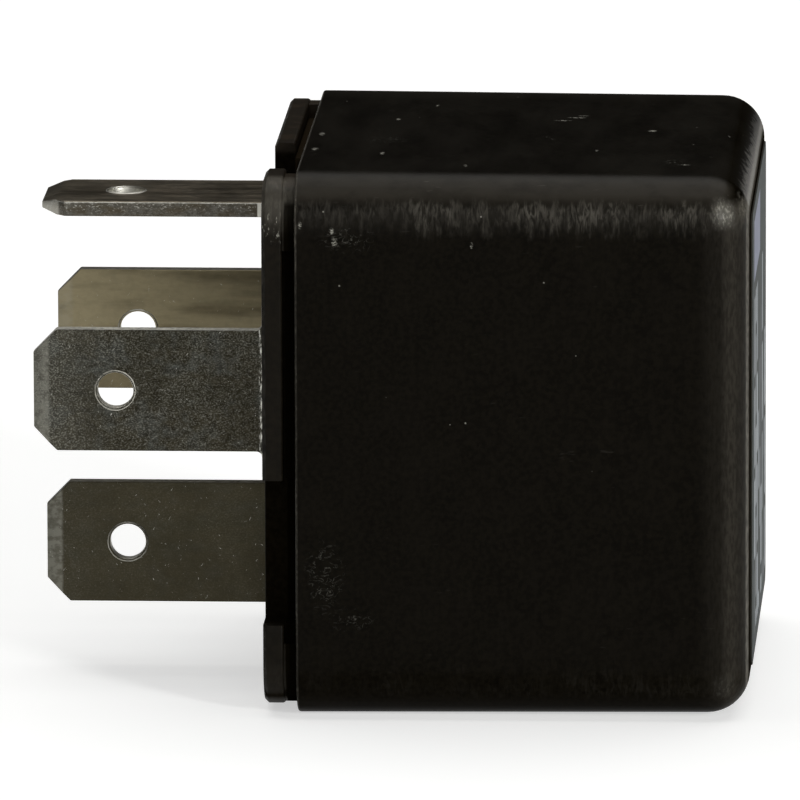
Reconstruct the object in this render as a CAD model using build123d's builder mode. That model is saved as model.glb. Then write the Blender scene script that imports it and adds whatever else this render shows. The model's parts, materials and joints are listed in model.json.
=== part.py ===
from build123d import *

import os
from math import cos, radians, sin, sqrt, tan

# A plug-in automotive relay: a square moulded base with four blade terminals,
# an electromagnet with a hinged armature, and a deep moulded cover.
# Millimetres. X runs along the relay, from the blades to the closed end of the cover.
# The origin is the middle of the base's outer face, where the relay seats on its socket.
# The relay lies on one side of its cover, with +Z up.

os.makedirs("parts", exist_ok=True)

# Cover
COVER_WALL = 1.1
COVER_END_WALL = 1.2
COVER_DRAFT = 0.37
COVER_EDGE_RADIUS = 2.5
COVER_END_RADIUS = 2.15
COVER_INNER_END_CHAMFER = 0.6
MECHANISM_CLEARANCE = 0.52

# Label on the closed end
LABEL_SIDE_MARGIN = 0.45
LABEL_TOP_MARGIN = 0.05
LABEL_THICKNESS = 0.1
LABEL_RADIUS = 0.8

# Base: a flange outside the cover and a plug inside its mouth
FLANGE_INSET = 0.4
FLANGE_THICKNESS = 1.05
FLANGE_CHAMFER = 0.2
FLANGE_BACK_RADIUS = 0.15
COVER_GAP = 0.65
SPACER_LEG = 3.4
SPACER_STEP = 0.08
PLUG_CLEARANCE = 0.1
PLUG_FLOOR = 2.3
SKIRT_HEIGHT = 2.0
SKIRT_WALL = 0.9
SKIRT_CLEARANCE = 0.25
NOTCH_WIDTH = 7.5
NOTCH_DEPTH = 2.2
NOTCH_OFFSET = 5.45

# Snap ridges inside the cover and their pockets in the plug
CATCH_OFFSET = 5.8
CATCH_LENGTH = 6.5
CATCH_HEIGHT = 0.35
CATCH_WIDTH = 0.7
CATCH_FROM_MOUTH = 0.95
CATCH_CLEARANCE = 0.08

# Blade terminals
BLADE_WIDTH = 6.3
BLADE_THICKNESS = 0.8
BLADE_REACH = 12.0
TIP_CHAMFER = 1.2
TIP_BEVEL = 0.8
TIP_THICKNESS = 0.35
DETENT_DIAMETER = 1.85
DETENT_FROM_TIP = 4.2
SHOULDER_WIDTH = 9.0
SHOULDER_PROUD = 0.3
SHOULDER_DEPTH = 1.2
SHOULDER_FILLET = 0.3
NECK_WIDTH = 5.0
SLOT_CLEARANCE = 0.05

# Where the blades stand: the coil pair in one row, the switched pair above and below it
COIL_ROW_HEIGHT = 2.0
COIL_SPACING = 16.8
SWITCHED_ABOVE_ROW = 8.4
COMMON_BELOW_ROW = 9.6
COIL_TAIL_REACH = 9.0
COIL_POST_LENGTH = 2.4
COIL_POST_WIDTH = 1.4
COMMON_TAB_LENGTH = 4.9
STRIP_INNER_BEND = 0.2

# Yoke
YOKE_STAND_OFF = 1.0
YOKE_THICKNESS = 1.8
YOKE_FROM_TAILS = 0.5
YOKE_LENGTH = 14.0
YOKE_FROM_COVER = 1.95
YOKE_INNER_BEND = 0.2
YOKE_FOOT_ABOVE_AXIS = 6.2
YOKE_LUG_LENGTH = 1.3
YOKE_LUG_WIDTH = 1.9
YOKE_PAD_SIDE = 1.4
YOKE_PAD_INSET = 0.8
CLIP_THICKNESS = 1.0
CLIP_WIDTH = 4.0
CLIP_NOSE = 0.45
CLIP_NOSE_LENGTH = 0.8
CLIP_HEIGHT = -4.5
CLIP_CLEARANCE = 0.05

# Coil
CORE_DIAMETER = 6.0
CORE_TAIL_DIAMETER = 4.5
CORE_RIVET_DIAMETER = 5.6
CORE_RIVET_HEIGHT = 0.4
POLE_DIAMETER = 9.6
POLE_THICKNESS = 1.2
BOBBIN_TUBE_WALL = 0.8
BOBBIN_SIDE_INSET = 0.6
BOBBIN_FROM_YOKE = 0.5
BOBBIN_FLANGE_THICKNESS = 0.9
BOBBIN_FLANGE_RADIUS = 2.0
WINDING_INSET = 0.3
WINDING_BAND = 1.15
WINDING_BAND_SAG = 0.16
WIRE_DIAMETER = 0.35
WIRE_BEND_RADIUS = 0.5
WIRE_CLEARANCE = 0.02

# Armature, drawn open: it leans away from the pole by its travel
ARMATURE_TRAVEL = 3.0
ARMATURE_THICKNESS = 1.4
ARMATURE_SIDE_INSET = 0.5
ARMATURE_BELOW_CONTACT = 1.5
ARMATURE_TOP_WIDTH = 9.0
ARMATURE_STRAIGHT = 11.0
ARMATURE_HEEL_HEIGHT = 2.2
HEEL_CLEARANCE = 0.2
PIVOT_GAP = 0.05

# Leaf spring that carries the moving contact
SPRING_THICKNESS = 0.35
SPRING_WIDTH = 8.0
SPRING_TIP_WIDTH = 4.4
SPRING_TAIL_LENGTH = 10.0
SPRING_LOOP_DROP = 0.7
SPRING_LOOP_SLOPE = 1.05
SPRING_LOOP_REACH = 2.1
SPRING_INNER_BEND = 0.1
SPRING_TAPER_LENGTH = 4.1
SPRING_TAPER_BELOW_CONTACT = 2.1
SPRING_PAST_CONTACT = 1.8

# Rivets and contacts
RIVET_DIAMETER = 1.8
RIVET_HEAD_DIAMETER = 3.0
RIVET_HEAD_HEIGHT = 0.5
RIVET_SPACING = 4.8
ARMATURE_RIVET_HEIGHT = 11.8
YOKE_RIVET_FROM_TAIL = 2.4
CONTACT_BELOW_BLADE = 1.7
CONTACT_DIAMETER = 2.8
CONTACT_SHANK = 1.6
MOVING_CONTACT_HEIGHT = 0.9
FIXED_CONTACT_HEIGHT = 0.7
CONTACT_STAKE_DIAMETER = 2.1
CONTACT_STAKE_HEIGHT = 0.3
CLOSED_CONTACT_GAP = 0.05

# Stop bracket behind the moving contact
STOP_STRIP_WIDTH = 3.0
STOP_STRIP_OFFSET = 7.1
STOP_STRIP_CLEARANCE = 0.4
STOP_TAB_WIDTH = 4.0
STOP_TAB_BELOW_CONTACT = 1.4
STOP_ARM_WIDTH = 2.4
STOP_ROOT_DEPTH = 2.0
STOP_CLEARANCE = 0.05

# Resistor across the coil
RESISTOR_DIAMETER = 2.4
RESISTOR_WAIST_DIAMETER = 2.0
RESISTOR_LENGTH = 6.4
RESISTOR_CAP_LENGTH = 1.3
RESISTOR_LEAD_DIAMETER = 0.6
RESISTOR_LEAD_BEND = 0.9
RESISTOR_FROM_TAIL_END = 1.0
RESISTOR_ABOVE_BOBBIN = 0.5
RESISTOR_BELOW_STRIP = 0.8

# Heights of the blades and contacts, with the stop bracket's strip over the spring's tip
switched_height = COIL_ROW_HEIGHT + SWITCHED_ABOVE_ROW
common_height = COIL_ROW_HEIGHT - COMMON_BELOW_ROW
contact_level = switched_height - CONTACT_BELOW_BLADE
stop_low = contact_level + SPRING_PAST_CONTACT + STOP_STRIP_CLEARANCE
stop_high = stop_low + BLADE_THICKNESS

# The base's plug and the cover are square round that strip
plug_side = 2 * (stop_high + SKIRT_CLEARANCE + SKIRT_WALL)
cavity_side = plug_side + 2 * PLUG_CLEARANCE
cavity_radius = COVER_EDGE_RADIUS - COVER_WALL
cover_side = cavity_side + 2 * COVER_WALL
flange_side = cover_side - 2 * FLANGE_INSET
flange_radius = COVER_EDGE_RADIUS - FLANGE_INSET / 2
mouth = FLANGE_THICKNESS + COVER_GAP
floor_back = mouth + PLUG_FLOOR
catch_x = mouth + CATCH_FROM_MOUTH
strip_bend = BLADE_THICKNESS + STRIP_INNER_BEND
slot_depth = BLADE_THICKNESS + 2 * SLOT_CLEARANCE

# The yoke stands between the coil terminals' tails, a little above the cover's lower wall
yoke_width = COIL_SPACING - BLADE_THICKNESS - 2 * YOKE_FROM_TAILS
yoke_bottom = YOKE_FROM_COVER - cavity_side / 2
yoke_bend = YOKE_THICKNESS + YOKE_INNER_BEND
yoke_front = floor_back + YOKE_STAND_OFF
yoke_inner = yoke_front + YOKE_THICKNESS
hinge_x = yoke_front + YOKE_LENGTH

# The bobbin fills the room between the yoke and the resistor
resistor_height = switched_height - BLADE_THICKNESS / 2 - RESISTOR_BELOW_STRIP - RESISTOR_DIAMETER / 2
bobbin_top = resistor_height - RESISTOR_DIAMETER / 2 - RESISTOR_ABOVE_BOBBIN
bobbin_low = yoke_bottom + YOKE_THICKNESS + BOBBIN_FROM_YOKE
bobbin_height = bobbin_top - bobbin_low
bobbin_width = yoke_width - 2 * BOBBIN_SIDE_INSET
coil_axis = (bobbin_top + bobbin_low) / 2
winding_diameter = bobbin_width - 2 * WINDING_INSET
foot_top = coil_axis + YOKE_FOOT_ABOVE_AXIS
pole_back = hinge_x - POLE_THICKNESS
winding_front = yoke_inner + BOBBIN_FLANGE_THICKNESS
winding_back = pole_back - BOBBIN_FLANGE_THICKNESS
bobbin_tube_diameter = CORE_DIAMETER + 2 * BOBBIN_TUBE_WALL

# The armature and its spring, measured up from the hinge line and out from it
contact_height = contact_level - yoke_bottom
armature_width = yoke_width - 2 * ARMATURE_SIDE_INSET
armature_height = contact_height - CONTACT_DIAMETER / 2 - ARMATURE_BELOW_CONTACT
armature_outer = PIVOT_GAP + ARMATURE_THICKNESS
spring_bend = SPRING_THICKNESS + SPRING_INNER_BEND
spring_outer = armature_outer + SPRING_THICKNESS
spring_top = contact_height + SPRING_PAST_CONTACT
taper_end = contact_height - SPRING_TAPER_BELOW_CONTACT
taper_start = taper_end - SPRING_TAPER_LENGTH
fixed_face = hinge_x + armature_outer - MOVING_CONTACT_HEIGHT - CLOSED_CONTACT_GAP
contact_tab_back = fixed_face - FIXED_CONTACT_HEIGHT
contact_tab_front = contact_tab_back - BLADE_THICKNESS

lean = radians(ARMATURE_TRAVEL)


def leaning(up, out):
    """The x and z of a point on the open armature: up along it, and out from its hinge line."""
    return (hinge_x + out * cos(lean) + up * sin(lean), yoke_bottom - out * sin(lean) + up * cos(lean))


def leaning_plane(out):
    """A plane along the open armature, x across the relay, y up the armature, z out of it."""
    x, z = leaning(0, out)
    return Plane(origin=(x, 0, z), x_dir=(0, 1, 0), z_dir=(cos(lean), 0, -sin(lean)))


def strip_profile(points, radius, thickness, side):
    """The edge-on outline of a bent strip: a line of points and its offset to one side."""
    with BuildSketch() as profile:
        with BuildLine():
            FilletPolyline(*points, radius=radius)
            offset(amount=thickness, side=side)
        make_face()
    return profile.sketch


def blade_plan(tail_end):
    """The flat outline of a blade, its shoulder and its tail; x runs from tip to tail."""
    half = BLADE_WIDTH / 2
    with BuildSketch() as plan:
        with BuildLine():
            Polyline(
                (-BLADE_REACH, 0),
                (-BLADE_REACH, half - TIP_CHAMFER),
                (-BLADE_REACH + TIP_CHAMFER, half),
                (-SHOULDER_PROUD, half),
                (-SHOULDER_PROUD, SHOULDER_WIDTH / 2),
                (SHOULDER_DEPTH, SHOULDER_WIDTH / 2),
                (SHOULDER_DEPTH, NECK_WIDTH / 2),
                (tail_end, NECK_WIDTH / 2),
                (tail_end, 0),
            )
            mirror(about=Plane.XZ)
        make_face()
        shoulder_corners = plan.vertices().filter_by_position(Axis.X, -SHOULDER_PROUD, -SHOULDER_PROUD)
        fillet(shoulder_corners.filter_by_position(Axis.Y, -half, half), min(SHOULDER_FILLET, SHOULDER_PROUD))
        with Locations((-BLADE_REACH + DETENT_FROM_TIP, 0)):
            Circle(DETENT_DIAMETER / 2, mode=Mode.SUBTRACT)
    return plan.sketch


def tip_bevels():
    """The two slivers that are taken off a blade's tip, seen on its edge."""
    outside = BLADE_THICKNESS
    with BuildSketch() as bevels:
        with BuildLine():
            Polyline(
                (-BLADE_REACH - TIP_BEVEL, outside),
                (-BLADE_REACH - TIP_BEVEL, TIP_THICKNESS / 2),
                (-BLADE_REACH, TIP_THICKNESS / 2),
                (-BLADE_REACH + TIP_BEVEL, BLADE_THICKNESS / 2),
                (-BLADE_REACH + TIP_BEVEL, outside),
                close=True,
            )
        make_face()
        mirror(about=Plane.XZ)
    return bevels.sketch


def side_plane(side):
    """The base's outer face, turned so that its y axis points at one of the four sides."""
    return Plane.YZ.rotated((90 * side, 0, 0))


def catch_plane(side):
    """A cross plane through the middle of one side's snap ridge; x runs along the relay, y outwards."""
    return Plane.XZ.rotated((90 * side, 0, 0)).offset(CATCH_OFFSET)


# The stop bracket stands just behind the open moving contact, and the cover's end just behind the bracket
stake_top = contact_height + CONTACT_STAKE_DIAMETER / 2
open_contact_back = leaning(stake_top, spring_outer + CONTACT_STAKE_HEIGHT)[0]
stop_x = open_contact_back + STOP_CLEARANCE
stop_back = stop_x + BLADE_THICKNESS
stop_root = floor_back - STOP_ROOT_DEPTH
stop_side = STOP_STRIP_OFFSET + STOP_STRIP_WIDTH / 2
cover_end = stop_back + MECHANISM_CLEARANCE + COVER_END_WALL
cover_length = cover_end - mouth

# The label covers the flat that the draft and the rounded rim leave on the closed end
end_flat = cover_side - 2 * cover_length * tan(radians(COVER_DRAFT)) - 2 * COVER_END_RADIUS
label_width = end_flat - 2 * LABEL_SIDE_MARGIN
label_height = end_flat - 2 * LABEL_TOP_MARGIN

# Base: flange, corner spacers, plug with a skirt, and everything that the blades and yoke sit in
with BuildPart() as base:
    with BuildSketch(Plane.YZ):
        RectangleRounded(flange_side, flange_side, flange_radius)
    extrude(amount=FLANGE_THICKNESS)
    chamfer(base.edges().group_by(Axis.X)[0], FLANGE_CHAMFER)
    fillet(base.edges().group_by(Axis.X)[-1], FLANGE_BACK_RADIUS)
    spacer_side = flange_side - 2 * SPACER_STEP
    with BuildSketch(Plane.YZ.offset(FLANGE_THICKNESS)):
        RectangleRounded(spacer_side, spacer_side, flange_radius)
        Rectangle(spacer_side, spacer_side - 2 * SPACER_LEG, mode=Mode.SUBTRACT)
        Rectangle(spacer_side - 2 * SPACER_LEG, spacer_side, mode=Mode.SUBTRACT)
    extrude(amount=COVER_GAP)
    with BuildSketch(Plane.YZ.offset(FLANGE_THICKNESS)):
        RectangleRounded(plug_side, plug_side, cavity_radius)
    extrude(amount=floor_back - FLANGE_THICKNESS)
    with BuildSketch(Plane.YZ.offset(floor_back)):
        RectangleRounded(plug_side, plug_side, cavity_radius)
        offset(amount=-SKIRT_WALL, mode=Mode.SUBTRACT)
    extrude(amount=SKIRT_HEIGHT)
    # A notch in each side of the flange, and the pocket behind it for the cover's snap ridge
    for side in range(4):
        with BuildSketch(side_plane(side)):
            with Locations((-NOTCH_OFFSET, flange_side / 2)):
                Rectangle(NOTCH_WIDTH, 2 * NOTCH_DEPTH)
        extrude(amount=mouth, mode=Mode.SUBTRACT)
        with BuildSketch(catch_plane(side)):
            with Locations((catch_x, plug_side / 2)):
                Rectangle(
                    CATCH_WIDTH + 2 * CATCH_CLEARANCE,
                    2 * (CATCH_HEIGHT - PLUG_CLEARANCE + CATCH_CLEARANCE),
                    align=(Align.MIN, Align.CENTER),
                )
        extrude(amount=CATCH_LENGTH / 2 + CATCH_CLEARANCE, both=True, mode=Mode.SUBTRACT)
    # Slots for the blades: a wide pocket for the shoulder and a narrow one for the neck
    upright_slots = [
        (-COIL_SPACING / 2, COIL_ROW_HEIGHT),
        (COIL_SPACING / 2, COIL_ROW_HEIGHT),
        (0, common_height),
    ]
    with BuildSketch(Plane.YZ):
        with Locations(*upright_slots):
            Rectangle(slot_depth, SHOULDER_WIDTH + 2 * SLOT_CLEARANCE)
        # The row's middle slot stays blind: this relay has no change-over blade
        with Locations((0, switched_height), (0, COIL_ROW_HEIGHT)):
            Rectangle(SHOULDER_WIDTH + 2 * SLOT_CLEARANCE, slot_depth)
    extrude(amount=SHOULDER_DEPTH, mode=Mode.SUBTRACT)
    with BuildSketch(Plane.YZ.offset(SHOULDER_DEPTH)):
        with Locations(*upright_slots):
            Rectangle(slot_depth, NECK_WIDTH + 2 * SLOT_CLEARANCE)
        with Locations((0, switched_height)):
            Rectangle(NECK_WIDTH + 2 * SLOT_CLEARANCE, slot_depth)
    extrude(amount=floor_back - SHOULDER_DEPTH, mode=Mode.SUBTRACT)
    # A blind slot inside for the stop bracket's root
    with BuildSketch(Plane.YZ.offset(stop_root)):
        with Locations((STOP_STRIP_OFFSET, (stop_low + stop_high) / 2)):
            Rectangle(STOP_STRIP_WIDTH + 2 * SLOT_CLEARANCE, slot_depth)
    extrude(amount=STOP_ROOT_DEPTH, mode=Mode.SUBTRACT)
    # Four pads and two spring clips that hold the yoke's foot
    pad_y = yoke_width / 2 - YOKE_PAD_INSET - YOKE_PAD_SIDE / 2
    pad_low = yoke_bottom + yoke_bend + YOKE_PAD_SIDE / 2
    pad_high = foot_top - YOKE_PAD_INSET - YOKE_PAD_SIDE / 2
    with BuildSketch(Plane.YZ.offset(floor_back)):
        with Locations((-pad_y, pad_low), (pad_y, pad_low), (-pad_y, pad_high), (pad_y, pad_high)):
            Rectangle(YOKE_PAD_SIDE, YOKE_PAD_SIDE)
    extrude(amount=YOKE_STAND_OFF)
    clip_inner = yoke_width / 2 + CLIP_CLEARANCE
    clip_outer = clip_inner + CLIP_THICKNESS
    nose_x = yoke_inner + CLIP_CLEARANCE
    clip_end = nose_x + CLIP_NOSE_LENGTH
    with BuildSketch(Plane.XY.offset(CLIP_HEIGHT)):
        with BuildLine():
            Polyline(
                (floor_back, clip_inner),
                (nose_x, clip_inner),
                (nose_x, clip_inner - CLIP_NOSE),
                (clip_end, clip_inner),
                (clip_end, clip_outer),
                (floor_back, clip_outer),
                close=True,
            )
        make_face()
        mirror(about=Plane.XZ)
    extrude(amount=CLIP_WIDTH / 2, both=True)
base.part.label = "base"
export_step(base.part, "parts/base.step")

# The hollow inside the cover, with the draft of its outside
with BuildPart() as cavity:
    with BuildSketch(Plane.YZ.offset(mouth)):
        RectangleRounded(cavity_side, cavity_side, cavity_radius)
    extrude(amount=cover_length - COVER_END_WALL, taper=COVER_DRAFT)
    chamfer(cavity.edges().group_by(Axis.X)[-1], COVER_INNER_END_CHAMFER)

# Cover: a deep drafted cup with its snap ridges
with BuildPart() as cover:
    with BuildSketch(Plane.YZ.offset(mouth)):
        RectangleRounded(cover_side, cover_side, COVER_EDGE_RADIUS)
    extrude(amount=cover_length, taper=COVER_DRAFT)
    fillet(cover.edges().group_by(Axis.X)[-1], COVER_END_RADIUS)
    add(cavity.part, mode=Mode.SUBTRACT)
    ridge_root = (cavity_side + COVER_WALL) / 2
    ridge_top = cavity_side / 2 - CATCH_HEIGHT
    for side in range(4):
        with BuildSketch(catch_plane(side)):
            with BuildLine():
                Polyline(
                    (catch_x + CATCH_CLEARANCE, ridge_root),
                    (catch_x + CATCH_CLEARANCE + CATCH_WIDTH / 2, ridge_top),
                    (catch_x + CATCH_CLEARANCE + CATCH_WIDTH, ridge_top),
                    (catch_x + CATCH_CLEARANCE + CATCH_WIDTH, ridge_root),
                    close=True,
                )
            make_face()
        extrude(amount=CATCH_LENGTH / 2, both=True)
cover.part.label = "cover"
export_step(cover.part, "parts/cover.step")

# Label: a thin plate on the closed end
with BuildPart() as label:
    with BuildSketch(Plane.YZ.offset(cover_end)):
        RectangleRounded(label_width, label_height, LABEL_RADIUS)
    extrude(amount=LABEL_THICKNESS)
label.part.label = "label"
export_step(label.part, "parts/label.step")

# The two coil terminals, flat along the sides of the coil, each with a post for the wire
for number, y in ((85, -COIL_SPACING / 2), (86, COIL_SPACING / 2)):
    flat = Plane(origin=(0, y, COIL_ROW_HEIGHT), x_dir=(1, 0, 0), z_dir=(0, -1, 0))
    with BuildPart() as coil_terminal:
        with BuildSketch(flat):
            add(blade_plan(COIL_TAIL_REACH))
            with Locations((COIL_TAIL_REACH, 0)):
                Rectangle(COIL_POST_LENGTH, COIL_POST_WIDTH, align=(Align.MIN, Align.CENTER))
        extrude(amount=BLADE_THICKNESS / 2, both=True)
        with BuildSketch(Plane(origin=flat.origin, x_dir=(1, 0, 0), z_dir=(0, 0, 1))):
            add(tip_bevels())
        extrude(amount=BLADE_WIDTH, both=True, mode=Mode.SUBTRACT)
    coil_terminal.part.label = f"terminal_{number}"
    export_step(coil_terminal.part, f"parts/terminal_{number}.step")

# The common terminal: its tail is folded flat against the yoke's foot
with BuildPart() as terminal_30:
    strip_half = BLADE_THICKNESS / 2
    with BuildSketch(Plane.XY.offset(common_height)):
        add(
            strip_profile(
                [
                    (-BLADE_REACH, -strip_half),
                    (yoke_front, -strip_half),
                    (yoke_front, COMMON_TAB_LENGTH - strip_half),
                ],
                strip_bend,
                BLADE_THICKNESS,
                Side.LEFT,
            )
        )
        add(tip_bevels(), mode=Mode.SUBTRACT)
    extrude(amount=SHOULDER_WIDTH, both=True)
    with BuildSketch(Plane(origin=(0, 0, common_height), x_dir=(1, 0, 0), z_dir=(0, -1, 0))):
        add(blade_plan(yoke_front))
    extrude(amount=COMMON_TAB_LENGTH, both=True, mode=Mode.INTERSECT)
terminal_30.part.label = "terminal_30"
export_step(terminal_30.part, "parts/terminal_30.step")

# The switched terminal: its tail runs over the coil and folds down to carry the fixed contact
with BuildPart() as terminal_87:
    strip_top = BLADE_THICKNESS / 2
    tab_low = contact_level - switched_height - CONTACT_DIAMETER / 2 - CONTACT_STAKE_HEIGHT
    with BuildSketch(Plane(origin=(0, 0, switched_height), x_dir=(1, 0, 0), z_dir=(0, -1, 0))):
        add(
            strip_profile(
                [(-BLADE_REACH, strip_top), (contact_tab_back, strip_top), (contact_tab_back, tab_low)],
                strip_bend,
                BLADE_THICKNESS,
                Side.RIGHT,
            )
        )
        add(tip_bevels(), mode=Mode.SUBTRACT)
    extrude(amount=SHOULDER_WIDTH, both=True)
    with BuildSketch(Plane.XY.offset(switched_height)):
        add(blade_plan(contact_tab_back))
    extrude(amount=SHOULDER_WIDTH, both=True, mode=Mode.INTERSECT)
    with BuildSketch(Plane.YZ.offset(contact_tab_front)):
        with Locations((0, contact_level)):
            Circle(CONTACT_SHANK / 2)
    extrude(amount=BLADE_THICKNESS, mode=Mode.SUBTRACT)
terminal_87.part.label = "terminal_87"
export_step(terminal_87.part, "parts/terminal_87.step")

# Yoke: a thick strip bent to an L, with two lugs that keep the armature's heel in place
rivet_x = hinge_x - SPRING_TAIL_LENGTH + YOKE_RIVET_FROM_TAIL
rivet_half = RIVET_SPACING / 2
with BuildPart() as yoke:
    with BuildSketch(Plane.XZ):
        add(
            strip_profile(
                [(yoke_front, foot_top), (yoke_front, yoke_bottom), (hinge_x, yoke_bottom)],
                yoke_bend,
                YOKE_THICKNESS,
                Side.LEFT,
            )
        )
    extrude(amount=yoke_width / 2, both=True)
    with BuildSketch(Plane.XY.offset(yoke_bottom)):
        for turn in (-1, 1):
            with Locations((hinge_x, turn * (yoke_width - YOKE_LUG_WIDTH) / 2)):
                Rectangle(YOKE_LUG_LENGTH, YOKE_LUG_WIDTH, align=(Align.MIN, Align.CENTER))
    extrude(amount=YOKE_THICKNESS)
    with BuildSketch(Plane.YZ.offset(yoke_front)):
        with Locations((0, coil_axis)):
            Circle(CORE_TAIL_DIAMETER / 2)
    extrude(amount=YOKE_THICKNESS, mode=Mode.SUBTRACT)
    with BuildSketch(Plane.XY.offset(yoke_bottom)):
        with Locations((rivet_x, -rivet_half), (rivet_x, rivet_half)):
            Circle(RIVET_DIAMETER / 2)
    extrude(amount=YOKE_THICKNESS, mode=Mode.SUBTRACT)
yoke.part.label = "yoke"
export_step(yoke.part, "parts/yoke.step")

# Core: pole face, shank, and a tail that is riveted over behind the yoke's foot
core_steps = [
    (yoke_front - CORE_RIVET_HEIGHT, CORE_RIVET_DIAMETER, CORE_RIVET_HEIGHT),
    (yoke_front, CORE_TAIL_DIAMETER, YOKE_THICKNESS),
    (yoke_inner, CORE_DIAMETER, pole_back - yoke_inner),
    (pole_back, POLE_DIAMETER, POLE_THICKNESS),
]
with BuildPart() as core:
    for start, diameter, length in core_steps:
        with BuildSketch(Plane.YZ.offset(start)):
            with Locations((0, coil_axis)):
                Circle(diameter / 2)
        extrude(amount=length)
core.part.label = "core"
export_step(core.part, "parts/core.step")

# Bobbin: a tube between two square flanges
with BuildPart() as bobbin:
    for start in (yoke_inner, winding_back):
        with BuildSketch(Plane.YZ.offset(start)):
            with Locations((0, coil_axis)):
                RectangleRounded(bobbin_width, bobbin_height, BOBBIN_FLANGE_RADIUS)
        extrude(amount=BOBBIN_FLANGE_THICKNESS)
    with BuildSketch(Plane.YZ.offset(winding_front)):
        with Locations((0, coil_axis)):
            Circle(bobbin_tube_diameter / 2)
    extrude(amount=winding_back - winding_front)
    with BuildSketch(Plane.YZ.offset(yoke_inner)):
        with Locations((0, coil_axis)):
            Circle(CORE_DIAMETER / 2)
    extrude(amount=pole_back - yoke_inner, mode=Mode.SUBTRACT)
bobbin.part.label = "bobbin"
export_step(bobbin.part, "parts/bobbin.step")

# Winding: the outer layer of turns shows as shallow bands between the flanges
with BuildPart() as coil_winding:
    winding_length = winding_back - winding_front
    bands = max(1, round(winding_length / WINDING_BAND))
    band = winding_length / bands
    tube_radius = bobbin_tube_diameter / 2
    winding_radius = winding_diameter / 2
    crest = coil_axis + winding_radius
    outline = [(winding_front, coil_axis + tube_radius)]
    for turn in range(bands):
        left = winding_front + turn * band
        outline += [(left, crest - WINDING_BAND_SAG), (left + band / 2, crest)]
    outline += [(winding_back, crest - WINDING_BAND_SAG), (winding_back, coil_axis + tube_radius)]
    with BuildSketch(Plane.XZ):
        with BuildLine():
            Polyline(*outline, close=True)
        make_face()
    revolve(axis=Axis((0, 0, coil_axis), (1, 0, 0)))
coil_winding.part.label = "coil_winding"
export_step(coil_winding.part, "parts/coil_winding.step")

# The ends of the winding, each laid along the inside of a coil terminal's tail
wire_x = winding_front + WIRE_DIAMETER
wire_drop = COIL_ROW_HEIGHT - WIRE_DIAMETER / 2 - coil_axis
wire_start = sqrt(winding_radius**2 - wire_drop**2) + WIRE_CLEARANCE
tail_inner = COIL_SPACING / 2 - BLADE_THICKNESS / 2
wire_out = tail_inner - WIRE_CLEARANCE - WIRE_DIAMETER / 2
wire_end_x = COIL_TAIL_REACH + COIL_POST_LENGTH / 2
for number, turn in ((85, -1), (86, 1)):
    with BuildPart() as coil_lead:
        with BuildLine() as route:
            FilletPolyline(
                (wire_x, turn * wire_start, COIL_ROW_HEIGHT),
                (wire_x, turn * wire_out, COIL_ROW_HEIGHT),
                (wire_end_x, turn * wire_out, COIL_ROW_HEIGHT),
                radius=WIRE_BEND_RADIUS,
            )
        with BuildSketch(Plane(origin=route.line @ 0, z_dir=route.line % 0)):
            Circle(WIRE_DIAMETER / 2)
        sweep()
    coil_lead.part.label = f"coil_lead_{number}"
    export_step(coil_lead.part, f"parts/coil_lead_{number}.step")

# Fixed contact: a rivet through the switched terminal's tab
with BuildPart() as fixed_contact:
    contact_steps = [
        (contact_tab_front - CONTACT_STAKE_HEIGHT, CONTACT_STAKE_DIAMETER, CONTACT_STAKE_HEIGHT),
        (contact_tab_front, CONTACT_SHANK, BLADE_THICKNESS),
        (contact_tab_back, CONTACT_DIAMETER, FIXED_CONTACT_HEIGHT),
    ]
    for start, diameter, length in contact_steps:
        with BuildSketch(Plane.YZ.offset(start)):
            with Locations((0, contact_level)):
                Circle(diameter / 2)
        extrude(amount=length)
fixed_contact.part.label = "fixed_contact"
export_step(fixed_contact.part, "parts/fixed_contact.step")

# Armature: a hinged plate, narrow at the heel between the yoke's lugs and at the top
with BuildPart() as armature:
    heel_half = yoke_width / 2 - YOKE_LUG_WIDTH - HEEL_CLEARANCE
    with BuildSketch(leaning_plane(PIVOT_GAP)):
        with BuildLine():
            Polyline(
                (0, 0),
                (heel_half, 0),
                (heel_half, ARMATURE_HEEL_HEIGHT),
                (armature_width / 2, ARMATURE_HEEL_HEIGHT),
                (armature_width / 2, ARMATURE_STRAIGHT),
                (ARMATURE_TOP_WIDTH / 2, armature_height),
                (0, armature_height),
            )
            mirror(about=Plane.YZ)
        make_face()
        with Locations((-rivet_half, ARMATURE_RIVET_HEIGHT), (rivet_half, ARMATURE_RIVET_HEIGHT)):
            Circle(RIVET_DIAMETER / 2, mode=Mode.SUBTRACT)
    extrude(amount=ARMATURE_THICKNESS)
armature.part.label = "armature"
export_step(armature.part, "parts/armature.step")

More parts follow.
